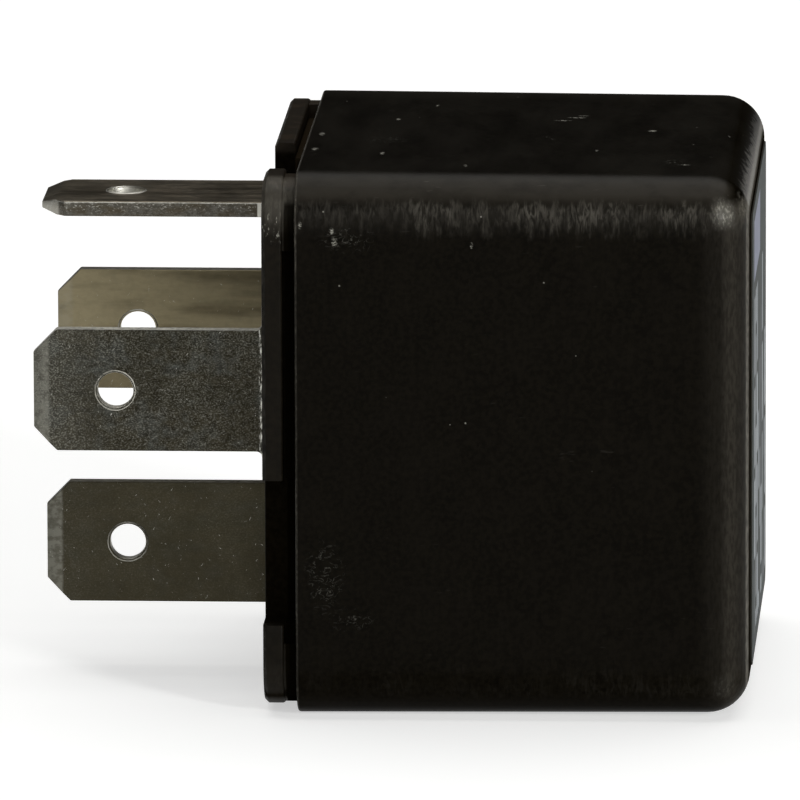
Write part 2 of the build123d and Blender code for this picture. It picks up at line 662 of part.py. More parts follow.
# Contact spring: a leaf under the yoke, a free loop round the hinge, and a leaf up the armature
with BuildPart() as contact_spring:
    loop_out = armature_outer + SPRING_LOOP_DROP
    loop_low = yoke_bottom - SPRING_LOOP_DROP
    with BuildSketch(Plane.XZ):
        add(
            strip_profile(
                [
                    (hinge_x - SPRING_TAIL_LENGTH, yoke_bottom),
                    (hinge_x - SPRING_LOOP_REACH, yoke_bottom),
                    (hinge_x - SPRING_LOOP_REACH + SPRING_LOOP_SLOPE, loop_low),
                    (leaning(-SPRING_LOOP_DROP, loop_out)[0], loop_low),
                    leaning(SPRING_LOOP_REACH - SPRING_LOOP_SLOPE, loop_out),
                    leaning(SPRING_LOOP_REACH, armature_outer),
                    leaning(spring_top, armature_outer),
                ],
                spring_bend,
                SPRING_THICKNESS,
                Side.RIGHT,
            )
        )
    extrude(amount=SPRING_WIDTH / 2, both=True)
    tip_half = SPRING_TIP_WIDTH / 2
    with BuildSketch(leaning_plane(0)):
        with BuildLine():
            Polyline(
                (SPRING_WIDTH / 2, taper_start),
                (tip_half, taper_end),
                (tip_half, spring_top),
                (SPRING_WIDTH, spring_top),
                (SPRING_WIDTH, taper_start),
                close=True,
            )
        make_face()
        mirror(about=Plane.YZ)
    extrude(amount=2 * spring_outer, mode=Mode.SUBTRACT)
    with BuildSketch(leaning_plane(0)):
        with Locations((-rivet_half, ARMATURE_RIVET_HEIGHT), (rivet_half, ARMATURE_RIVET_HEIGHT)):
            Circle(RIVET_DIAMETER / 2)
        with Locations((0, contact_height)):
            Circle(CONTACT_SHANK / 2)
    extrude(amount=2 * spring_outer, mode=Mode.SUBTRACT)
    with BuildSketch(Plane.XY.offset(yoke_bottom)):
        with Locations((rivet_x, -rivet_half), (rivet_x, rivet_half)):
            Circle(RIVET_DIAMETER / 2)
    extrude(amount=-2 * SPRING_THICKNESS, mode=Mode.SUBTRACT)
contact_spring.part.label = "contact_spring"
export_step(contact_spring.part, "parts/contact_spring.step")

# Rivets that join the spring to the armature: flush towards the pole, headed on the spring
with BuildPart() as armature_rivets:
    rivet_places = [(-rivet_half, ARMATURE_RIVET_HEIGHT), (rivet_half, ARMATURE_RIVET_HEIGHT)]
    with BuildSketch(leaning_plane(PIVOT_GAP)):
        with Locations(*rivet_places):
            Circle(RIVET_DIAMETER / 2)
    extrude(amount=spring_outer - PIVOT_GAP)
    with BuildSketch(leaning_plane(spring_outer)):
        with Locations(*rivet_places):
            Circle(RIVET_HEAD_DIAMETER / 2)
    extrude(amount=RIVET_HEAD_HEIGHT)
    chamfer(armature_rivets.edges().group_by(Axis.X)[-1], RIVET_HEAD_HEIGHT / 2)
armature_rivets.part.label = "armature_rivets"
export_step(armature_rivets.part, "parts/armature_rivets.step")

# Rivets that join the spring to the yoke: flush inside, headed under the spring
with BuildPart() as yoke_rivets:
    rivet_places = [(rivet_x, -rivet_half), (rivet_x, rivet_half)]
    with BuildSketch(Plane.XY.offset(yoke_bottom - SPRING_THICKNESS)):
        with Locations(*rivet_places):
            Circle(RIVET_DIAMETER / 2)
    extrude(amount=SPRING_THICKNESS + YOKE_THICKNESS)
    with BuildSketch(Plane.XY.offset(yoke_bottom - SPRING_THICKNESS)):
        with Locations(*rivet_places):
            Circle(RIVET_HEAD_DIAMETER / 2)
    extrude(amount=-RIVET_HEAD_HEIGHT)
    chamfer(yoke_rivets.edges().group_by(Axis.Z)[0], RIVET_HEAD_HEIGHT / 2)
yoke_rivets.part.label = "yoke_rivets"
export_step(yoke_rivets.part, "parts/yoke_rivets.step")

# Moving contact: a rivet through the spring's tip, facing the fixed contact
with BuildPart() as moving_contact:
    contact_steps = [
        (armature_outer - MOVING_CONTACT_HEIGHT, CONTACT_DIAMETER, MOVING_CONTACT_HEIGHT),
        (armature_outer, CONTACT_SHANK, SPRING_THICKNESS),
        (spring_outer, CONTACT_STAKE_DIAMETER, CONTACT_STAKE_HEIGHT),
    ]
    for start, diameter, length in contact_steps:
        with BuildSketch(leaning_plane(start)):
            with Locations((0, contact_height)):
                Circle(diameter / 2)
        extrude(amount=length)
moving_contact.part.label = "moving_contact"
export_step(moving_contact.part, "parts/moving_contact.step")

# Stop bracket: a strip beside the switched terminal that folds down behind the moving contact
with BuildPart() as stop_bracket:
    with BuildSketch(Plane.XZ):
        add(
            strip_profile(
                [
                    (stop_root, stop_high),
                    (stop_back, stop_high),
                    (stop_back, contact_level - STOP_TAB_BELOW_CONTACT),
                ],
                strip_bend,
                BLADE_THICKNESS,
                Side.RIGHT,
            )
        )
    extrude(amount=stop_side, both=True)
    arm_x = stop_x - STOP_ARM_WIDTH
    with BuildSketch(Plane.XY.offset(stop_high)):
        with BuildLine():
            Polyline(
                (stop_root, stop_side),
                (stop_root, stop_side - STOP_STRIP_WIDTH),
                (arm_x, stop_side - STOP_STRIP_WIDTH),
                (arm_x, -STOP_TAB_WIDTH / 2),
                (stop_back, -STOP_TAB_WIDTH / 2),
                (stop_back, STOP_TAB_WIDTH / 2),
                (stop_x - strip_bend / 2, STOP_TAB_WIDTH / 2),
                (stop_x - strip_bend / 2, stop_side),
                close=True,
            )
        make_face()
    extrude(amount=-BLADE_REACH, mode=Mode.INTERSECT)
stop_bracket.part.label = "stop_bracket"
export_step(stop_bracket.part, "parts/stop_bracket.step")

# Resistor: a body with raised caps, and a lead to each coil terminal
resistor_x = COIL_TAIL_REACH - RESISTOR_FROM_TAIL_END
with BuildPart() as resistor_body:
    body_half = RESISTOR_LENGTH / 2
    cap_inner = body_half - RESISTOR_CAP_LENGTH
    with BuildSketch(Plane.YZ.offset(resistor_x)):
        with BuildLine():
            Polyline(
                (0, resistor_height),
                (body_half, resistor_height),
                (body_half, resistor_height + RESISTOR_DIAMETER / 2),
                (cap_inner, resistor_height + RESISTOR_DIAMETER / 2),
                (cap_inner, resistor_height + RESISTOR_WAIST_DIAMETER / 2),
                (0, resistor_height + RESISTOR_WAIST_DIAMETER / 2),
                close=True,
            )
        make_face()
        mirror(about=Plane.YZ)
    revolve(axis=Axis((resistor_x, 0, resistor_height), (0, 1, 0)))
resistor_body.part.label = "resistor_body"
export_step(resistor_body.part, "parts/resistor_body.step")

with BuildPart() as resistor_leads:
    tail_top = COIL_ROW_HEIGHT + NECK_WIDTH / 2
    for turn in (-1, 1):
        with BuildLine() as route:
            FilletPolyline(
                (resistor_x, turn * RESISTOR_LENGTH / 2, resistor_height),
                (resistor_x, turn * COIL_SPACING / 2, resistor_height),
                (resistor_x, turn * COIL_SPACING / 2, tail_top),
                radius=RESISTOR_LEAD_BEND,
            )
        with BuildSketch(Plane(origin=route.line @ 0, z_dir=route.line % 0)):
            Circle(RESISTOR_LEAD_DIAMETER / 2)
        sweep(path=route.line)
resistor_leads.part.label = "resistor_leads"
export_step(resistor_leads.part, "parts/resistor_leads.step")
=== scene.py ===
"""The looks of a plug-in automotive relay, built round its CAD frame.

Everything is in metres in the frame's own axes: X runs from the blades to the closed end of the
cover, Z is up as the relay lies on one side of its cover, and the camera looks along +Y.
"""

import json
from math import cos, pi, radians, sin

import bpy
from bpy.props import FloatProperty, FloatVectorProperty, IntProperty, PointerProperty
from bpy.types import Operator, Panel, PropertyGroup
from mathutils import Matrix, Vector

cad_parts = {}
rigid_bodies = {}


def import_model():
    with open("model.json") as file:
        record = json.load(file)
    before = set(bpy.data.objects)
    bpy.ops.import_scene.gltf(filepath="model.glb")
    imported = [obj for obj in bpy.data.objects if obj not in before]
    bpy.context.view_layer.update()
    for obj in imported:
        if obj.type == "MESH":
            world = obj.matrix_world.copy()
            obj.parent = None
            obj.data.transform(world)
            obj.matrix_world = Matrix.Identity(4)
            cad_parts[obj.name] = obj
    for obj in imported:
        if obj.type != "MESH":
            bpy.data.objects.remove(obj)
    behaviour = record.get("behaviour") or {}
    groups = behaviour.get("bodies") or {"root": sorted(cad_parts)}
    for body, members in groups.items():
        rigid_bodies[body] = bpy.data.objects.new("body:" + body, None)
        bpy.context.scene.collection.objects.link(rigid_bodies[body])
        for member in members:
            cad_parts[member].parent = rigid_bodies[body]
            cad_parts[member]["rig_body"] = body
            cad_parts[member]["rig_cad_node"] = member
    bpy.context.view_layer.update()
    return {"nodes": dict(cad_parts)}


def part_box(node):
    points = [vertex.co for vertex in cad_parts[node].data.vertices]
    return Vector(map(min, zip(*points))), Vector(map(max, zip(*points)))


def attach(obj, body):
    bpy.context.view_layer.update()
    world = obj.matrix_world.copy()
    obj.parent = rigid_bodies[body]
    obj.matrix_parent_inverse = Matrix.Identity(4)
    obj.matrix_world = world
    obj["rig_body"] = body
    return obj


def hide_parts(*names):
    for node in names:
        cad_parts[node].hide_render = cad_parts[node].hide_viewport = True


bl_info = {
    "name": "Automotive relay",
    "version": (1, 0, 0),
    "blender": (4, 5, 0),
    "location": "3D View > Sidebar > Relay",
    "description": "Finishes a plug-in relay round its CAD frame: mouldings, blades, label and stage",
    "category": "Object",
}

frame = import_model()
MM = 0.001

# Where things are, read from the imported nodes
FLOOR_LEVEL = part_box("cover")[0].z
HOUSING = "housing"
MERGE_DISTANCE = 0.001 * MM
FLAT_ANGLE = radians(0.5)
CREASE_ANGLE = radians(35)

# The blades: node, finished piece, the middle of the blade across and up, and the way its burr faces
BLADES = (
    ("terminal_85", "coil_blade_near", (-8.4, 2.0), Vector((0, -1, 0))),
    ("terminal_86", "coil_blade_far", (8.4, 2.0), Vector((0, -1, 0))),
    ("terminal_30", "common_blade", (0, -7.6), Vector((0, -1, 0))),
    ("terminal_87", "switched_blade", (0, 10.4), Vector((0, 0, 1))),
)
BLADE_HALF_THICKNESS = 0.4 * MM
# What materials share: a pattern that isn't stretched, and the shader's values for bare metal
EVEN = (1, 1, 1)
METAL = {"Metallic": 1.0}
# Millimetres from the middle at which the cover's long edges begin to round
ROUNDING_START = 11.55
LIP_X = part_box("cover")[0].x / MM
# Patterns on the cover's rounded end stop between these two, short of its flat face
BEFORE_FLAT = (24.745, 24.72)
LABEL_HALF_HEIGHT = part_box("label")[1].z / MM
LABEL_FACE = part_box("label")[1].x / MM
# Rows of bars nearer than the label's middle and beyond it, and the height that they reach
NEAR_ROWS, FAR_ROWS, BARS_TOP = 4, 5, 6.9
# The label's plain box: its limits across and up
LABEL_BOX = ((-8.4, 1.2), (7.7, 10.9))
PRINT_SOFTNESS = 0.05
DETENT_X = -7.8 * MM
DETENT_RADIUS = 0.925 * MM
# Half lengths of the mark that finds a hole's wall: along the hole and across it
HOLE_MARK = (20, 2.2)
# A blade is smeared from this far under its middle
SMEARED_BELOW = 1.2
# The floor's own light, which only straight views, mirrors and glass see
FLOOR_GLOW = 0.52
# The lamps: name, azimuth and elevation in degrees, then distance, width and height in metres, and
# the stage's property that holds the brightness
LAMPS = (
    ("overhead_lamp", 180, 74, 0.7, 0.9, 0.78, "overhead"),
    ("front_lamp", 2, 20, 0.8, 0.5, 0.46, "front"),
    ("corner_lamp", 41, 17, 0.8, 0.09, 0.12, "corner"),
    ("right_panel", 63, 10, 0.8, 0.66, 0.5, "fill"),
)
# Marks on the cover where the photograph shows them: middle and half lengths along x, y and z,
# in millimetres
MARKS = (
    ((14.6, 3.5, 14.0), (0.55, 0.16, 0.3)),
    ((15.3, 4.4, 14.0), (0.6, 0.18, 0.3)),
    ((15.6, 5.0, 14.0), (0.35, 0.14, 0.3)),
    ((19.3, 0.8, 14.0), (0.3, 0.35, 0.3)),
    ((23.3, 0.05, 14.0), (0.14, 0.4, 0.3)),
    ((2.4, -1.3, 14.0), (0.2, 0.6, 0.3)),
    ((2.3, -5.7, 14.0), (0.22, 0.5, 0.3)),
    ((5.8, -6.7, 14.0), (0.16, 0.5, 0.3)),
    ((6.1, 3.3, 14.0), (0.14, 0.35, 0.3)),
    ((7.9, 7.5, 14.0), (0.1, 0.4, 0.3)),
    ((10.2, -10.0, 14.0), (0.12, 0.4, 0.3)),
    ((16.7, -5.2, 14.0), (0.12, 0.35, 0.3)),
    ((21.3, -9.0, 14.0), (0.4, 0.2, 0.3)),
    ((2.0, -14.0, 11.6), (0.12, 0.3, 0.25)),
    ((3.6, -14.0, 11.3), (0.16, 0.3, 0.22)),
    ((3.75, -14.0, 10.75), (0.2, 0.3, 0.3)),
    ((10.7, -14.0, 10.6), (0.1, 0.3, 0.2)),
)
# Patches of fine, curled hairline scratches, placed in the same way
HAIRLINES = (
    ((6.0, -2.7, 14.0), (1.6, 1.3, 0.5)),
    ((13.9, -1.8, 14.0), (0.8, 0.9, 0.5)),
    ((20.6, -8.4, 14.0), (1.0, 1.2, 0.5)),
    ((3.2, -14.0, -6.6), (1.3, 0.5, 2.4)),
    ((4.6, -14.0, -8.8), (1.4, 0.5, 0.8)),
    ((4.4, -14.0, 10.9), (1.8, 0.5, 0.9)),
)


def linear(colour):
    """A linear RGBA colour from an sRGB hex value."""
    channels = [int(colour[start:start + 2], 16) / 255 for start in (1, 3, 5)]
    return [c / 12.92 if c <= 0.04045 else ((c + 0.055) / 1.055) ** 2.4 for c in channels] + [1.0]


def tint(name, description, colour):
    """A colour property, from an sRGB hex value."""
    return FloatVectorProperty(
        name=name, description=description, size=4, subtype="COLOR", min=0, max=1, default=linear(colour)
    )


def length(name, description, millimetres, longest=1000):
    """A length property, given in millimetres and kept in metres."""
    return FloatProperty(
        name=name, description=description, default=millimetres * MM, min=0, max=longest * MM,
        subtype="DISTANCE", unit="LENGTH", precision=5,
    )


def amount(name, description, value, largest=1.0):
    """A plain number from nothing up to its largest value."""
    return FloatProperty(name=name, description=description, default=value, min=0, max=largest)


def angle(name, description, degrees):
    """An angle property, given in degrees and kept in radians."""
    return FloatProperty(
        name=name, description=description, default=radians(degrees), subtype="ANGLE", unit="ROTATION"
    )


class RelayMouldings(PropertyGroup):
    """Sizes and colours of the cover and the base."""

    cover_break: length("Cover edge break", "Rounding of the cover's lip", 0.15, 0.5)
    base_break: length("Base edge break", "Rounding of the base's edges", 0.06, 0.3)
    break_rings: IntProperty(
        name="Edge rings", description="Faces across each rounding", default=3, min=1, max=6
    )
    cover_colour: tint("Cover", "Clean cover plastic", "#070502")
    handled_colour: tint("Handled", "Cover where hands have rubbed it", "#15120c")
    # The rub, mark and dust colours also paint highlights on the mouldings' rounded edges and corners
    rub_and_highlight_colour: tint("Rubbed edge", "Cover along its rounded edges", "#312e28")
    mark_and_highlight_colour: tint("Marks", "Scuffs in the rubbed edges", "#6f6b62")
    dust_and_highlight_colour: tint("Dust", "Specks of dust", "#b9b6aa")
    # Painted light: this colour also lightens the shaded groove behind the base's flange
    groove_dust_and_light_colour: tint("Groove dust", "Dust in the groove between base and cover", "#5a4c3b")
    base_colour: tint("Base", "Base plastic", "#16120b")
    grain_size: length("Moulded grain", "Size of the moulded grain", 0.16, 2)
    patch_size: length("Handling patch", "Size of the patches that handling leaves", 3.2, 20)
    speck_spacing: length("Dust spacing", "Mean distance between specks of dust", 0.8, 20)


class RelayBlades(PropertyGroup):
    """Sizes and colours of the four blades."""

    edge_break: length("Edge break", "Rounding of a blade's stamped edges", 0.05, 0.2)
    burr_height: length("Burr height", "How far the burr stands round a detent hole", 0.045, 0.2)
    burr_width: length("Burr width", "Width of the burr round a detent hole", 0.13, 0.5)
    # Painted light: these four blade tones stand for one tin finish, each set lighter or darker for the
    # light that its blade gets
    near_colour: tint("Near blade", "Tarnish of the near coil blade", "#312f26")
    far_colour: tint("Far blade", "Tarnish of the far coil blade", "#92886c")
    common_colour: tint("Lower blade", "Tarnish of the common blade", "#383529")
    switched_colour: tint("Upper blade", "Tarnish of the switched blade", "#8b8170")
    smear_colour: tint("Smears", "Brown film smeared along the blades", "#4a4130")
    stain_colour: tint("Stains", "Dark stains between the plating's grains", "#1d1a12")
    cool_colour: tint("Cool tin", "Bluish patches of cleaner tin", "#484c4b")
    worn_colour: tint("Worn tin", "Tin where the tarnish is rubbed thin", "#85847b")
    scratch_and_highlight_colour: tint("Scratches", "Bright tin in scratches", "#e4e3da")
    sheared_and_highlight_colour: tint("Sheared edge", "Bright metal of the stamped edges", "#dcdad0")
    edge_colour: tint("Dull edge", "Tarnished stamped edges", "#3e3a32")
    grain_size: length("Grain", "Size of the plating's bright grains", 0.07, 1)


class RelayLabel(PropertyGroup):
    """Sizes and colours of the label."""

    edge_break: length("Edge break", "Rounding of the label's edge", 0.03, 0.1)
    film_colour: tint("Film", "Dark film between the printed bars", "#2f3533")
    bar_colour: tint("Bars", "Palest printed bar", "#bfc5ca")
    box_colour: tint("Box", "Plain printed box", "#85899a")
    cut_colour: tint("Cut edge", "The film's cut edge", "#403e38")
    border: length("Border", "Bare film round the printed bars", 1.0, 5)
    row_height: length("Row height", "From one row of bars to the next", 2.1, 10)
    bar_length: length("Bar length", "From one bar to the next in its row", 4.75, 20)


class RelayStage(PropertyGroup):
    """Camera, floor and lamps."""

    azimuth: angle("Camera azimuth", "Turn of the camera round the relay, from straight on", 3.077)
    elevation: angle("Camera elevation", "Height of the camera above the horizon", 11.031)
    roll: angle("Camera roll", "Lean of the camera", -0.188)
    distance: length("Camera distance", "From the camera to its target", 805.6, 5000)
    focal_length: FloatProperty(
        name="Focal length", description="Lens of the camera in millimetres", default=702.1,
        min=10, max=2000,
    )
    target: FloatVectorProperty(
        name="Camera target", description="Point that the camera looks at", size=3, subtype="XYZ",
        unit="LENGTH", default=(6.3 * MM, 0, -0.115 * MM), precision=5,
    )
    floor_colour: tint("Floor", "Pale floor", "#e6e6e4")
    floor_size: length("Floor size", "Side of the floor", 3000, 10000)
    overhead: amount("Overhead", "Brightness of the overhead softbox", 1.7, 20)
    front: amount("Front", "Brightness of the soft front lamp", 1.6, 50)
    corner: amount("Corner", "Brightness of the lamp to the right", 70.0, 200)
    fill: amount("Fill", "Brightness of the broad panel to the right", 1.35, 20)
    zenith: amount("Zenith", "Brightness of the room overhead", 0.2)
    horizon: amount("Horizon", "Brightness of the room at the horizon", 0.0)


def deselect():
    """Clears the selection, which the frame's nodes or the last piece still hold."""
    if bpy.context.mode != "OBJECT":
        bpy.ops.object.mode_set(mode="OBJECT")
    bpy.ops.object.select_all(action="DESELECT")


def activate(piece):
    """Makes one object the only one that the next operators act on."""
    deselect()
    piece.select_set(True)
    bpy.context.view_layer.objects.active = piece


def copied(node, name):
    """A merged copy of a CAD node with its flat faces whole, free of the frame."""
    activate(frame["nodes"][node])
    bpy.ops.object.duplicate()
    piece = bpy.context.active_object
    piece.name = piece.data.name = name
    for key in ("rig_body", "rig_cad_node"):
        del piece[key]
    bpy.ops.object.parent_clear(type="CLEAR_KEEP_TRANSFORM")
    bpy.ops.mesh.customdata_custom_splitnormals_clear()
    bpy.ops.object.mode_set(mode="EDIT")
    bpy.ops.mesh.select_all(action="SELECT")
    bpy.ops.mesh.remove_doubles(threshold=MERGE_DISTANCE)
    bpy.ops.mesh.dissolve_limited(angle_limit=FLAT_ANGLE)
    bpy.ops.object.mode_set(mode="OBJECT")
    piece.data.materials.clear()
    return piece


def broken(piece, width, rings):
    """Rounds a piece's sharp edges and smooths its shading between them."""
    activate(piece)
    bevel = piece.modifiers.new("edge_break", "BEVEL")
    bevel.width = width
    bevel.segments = rings
    bevel.limit_method = "ANGLE"
    bevel.angle_limit = CREASE_ANGLE
    bevel.use_clamp_overlap = True
    bpy.ops.object.modifier_apply(modifier=bevel.name)
    # Roundings that meet in a point leave empty faces
    bpy.ops.object.mode_set(mode="EDIT")
    bpy.ops.mesh.select_all(action="SELECT")
    bpy.ops.mesh.dissolve_degenerate(threshold=MERGE_DISTANCE)
    bpy.ops.mesh.remove_doubles(threshold=MERGE_DISTANCE)
    bpy.ops.object.mode_set(mode="OBJECT")
    bpy.ops.object.shade_smooth_by_angle(angle=CREASE_ANGLE)
    weighted = piece.modifiers.new("flat_faces", "WEIGHTED_NORMAL")
    weighted.keep_sharp = True
    bpy.ops.object.modifier_apply(modifier=weighted.name)


def joined(name, parts):
    """One piece from several, named for what it is."""
    activate(parts[0])
    for part in parts[1:]:
        part.select_set(True)
    bpy.ops.object.join()
    parts[0].name = parts[0].data.name = name
    return parts[0]


def settled(piece, slot, *nodes, body=HOUSING):
    """Ties a finished piece to its body and hides the CAD nodes that it stands for. Its slot is not used.
    """
    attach(piece, body)
    if nodes:
        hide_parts(*nodes)


def socket(sockets, name):
    """A socket by its identifier, or else by its name."""
    return next((each for each in sockets if each.identifier == name), None) or sockets[name]


def add(tree, kind, settings=None, values=None, links=None):
    """Adds a node with its settings, its input values and its links from other nodes' outputs."""
    node = tree.nodes.new(kind)
    for name, value in (settings or {}).items():
        setattr(node, name, value)
    for name, value in (values or {}).items():
        socket(node.inputs, name).default_value = value
    for name, source in (links or {}).items():
        tree.links.new(source, socket(node.inputs, name))
    return node


class Finish:
    """A material under construction: its tree, its shader and the steps that its patterns share."""

    def __init__(self, name, values):
        self.material = bpy.data.materials.new(name)
        self.material.use_nodes = True
        self.tree = self.material.node_tree
        self.shader = self.tree.nodes["Principled BSDF"]
        for key, value in values.items():
            self.shader.inputs[key].default_value = value
        place = add(self.tree, "ShaderNodeTexCoord")
        # Patterns are written in millimetres
        self.place = add(
            self.tree, "ShaderNodeMapping", values={"Scale": (1 / MM, 1 / MM, 1 / MM)},
            links={"Vector": place.outputs["Object"]},
        ).outputs["Vector"]
        parts = add(self.tree, "ShaderNodeSeparateXYZ", links={"Vector": self.place})
        self.x, self.y, self.z = parts.outputs

    def noise(self, grain, stretch=EVEN, shift=0.0, detail=3.0, twist=0.0, turn=(0, 0, 0)):
        """A cloudy pattern with features of that many millimetres, longer where it is stretched.

        Its shift, different for each pattern of a material, keeps any two from lining up.
        """
        stretched = add(
            self.tree, "ShaderNodeMapping", {"vector_type": "TEXTURE"},
            {
                "Location": (shift, 1.7 * shift, 2.3 * shift),
                "Rotation": turn,
                "Scale": tuple(grain * each for each in stretch),
            },
            {"Vector": self.place},
        )
        return add(
            self.tree, "ShaderNodeTexNoise",
            values={"Scale": 1.0, "Detail": detail, "Roughness": 0.55, "Distortion": twist},
            links={"Vector": stretched.outputs["Vector"]},
        ).outputs["Fac"]

    def ramp(self, source, start, end, low=0.0, high=1.0):
        """Turns a range of one value into a range of another, held at both ends."""
        return add(
            self.tree, "ShaderNodeMapRange", {"interpolation_type": "SMOOTHSTEP"},
            {"From Min": start, "From Max": end, "To Min": low, "To Max": high},
            {"Value": source},
        ).outputs["Result"]

    def cloud(self, limits, *shape, **more):
        """A noise as a mask: nothing up to the first limit, and full from the second."""
        return self.ramp(self.noise(*shape, **more), *limits)

    def math(self, operation, first, second):
        """Arithmetic on two values, either of which may be a number."""
        node = add(self.tree, "ShaderNodeMath", {"operation": operation})
        for place, value in enumerate((first, second)):
            if isinstance(value, (int, float)):
                node.inputs[place].default_value = value
            else:
                self.tree.links.new(value, node.inputs[place])
        return node.outputs[0]

    def both(self, *masks):
        """Where all the masks hold. Any of them but the first may be a number."""
        result = masks[0]
        for mask in masks[1:]:
            result = self.math("MULTIPLY", result, mask)
        return result

    def less(self, mask):
        """Where a mask doesn't hold."""
        return self.math("SUBTRACT", 1, mask)

    def between(self, mask, low, high):
        """A mask's whole range brought between two amounts."""
        return self.ramp(mask, 0, 1, low, high)

    def band(self, source, start, full, fading, end):
        """Where a value lies in a range, with soft limits."""
        return self.both(self.ramp(source, start, full), self.ramp(source, end, fading))

    def from_middle(self):
        """Distances across and up from the middle, and the smaller one, large on the long edges only."""
        across, up = (self.math("ABSOLUTE", each, 0) for each in (self.y, self.z))
        return across, up, self.math("MINIMUM", across, up)

    def mixed(self, mask, first, second):
        """One colour going over to another where the mask holds."""
        node = add(self.tree, "ShaderNodeMix", {"data_type": "RGBA"}, links={"Factor_Float": mask})
        for name, value in (("A_Color", first), ("B_Color", second)):
            if isinstance(value, bpy.types.NodeSocket):
                self.tree.links.new(value, socket(node.inputs, name))
            else:
                socket(node.inputs, name).default_value = value
        return socket(node.outputs, "Result_Color")

    def layered(self, colour, *layers):
        """A colour under layers, each given as its masks and then its own colour."""
        for *masks, laid in layers:
            colour = self.mixed(self.both(*masks), colour, laid)
        return colour

    def dots(self, spacing, radius, share):
        """Round specks at random places, in that share of the cells of a loose grid."""
        cells = add(
            self.tree, "ShaderNodeTexVoronoi", values={"Scale": 1 / spacing}, links={"Vector": self.place}
        )
        spot = self.ramp(cells.outputs["Distance"], radius / spacing, 0.5 * radius / spacing)
        chance = add(self.tree, "ShaderNodeSeparateColor", links={"Color": cells.outputs["Color"]})
        return self.both(spot, self.ramp(chance.outputs[0], 1 - share, 1 - share + 0.01))

    def mark(self, middle, reach):
        """One mark: full in its middle and gone at its half length along each axis."""
        offset = add(
            self.tree, "ShaderNodeMapping", {"vector_type": "TEXTURE"},
            {"Location": middle, "Scale": reach}, {"Vector": self.place},
        )
        distance = add(
            self.tree, "ShaderNodeVectorMath", {"operation": "LENGTH"},
            links={"Vector": offset.outputs["Vector"]},
        )
        return self.ramp(distance.outputs["Value"], 1.0, 0.3)

    def marked(self, marks):
        """Where any of several marks lies."""
        result = self.mark(*marks[0])
        for each in marks[1:]:
            result = self.math("MAXIMUM", result, self.mark(*each))
        return result

    def bump(self, height, depth, strength=1.0, below=None):
        """Relief from a height pattern, in millimetres, on top of any relief below it."""
        links = {"Height": height}
        if below:
            links["Normal"] = below
        values = {"Strength": strength, "Distance": depth * MM}
        return add(self.tree, "ShaderNodeBump", values=values, links=links).outputs["Normal"]

    def wire(self, name, source):
        """Links a pattern to the shader."""
        self.tree.links.new(source, self.shader.inputs[name])


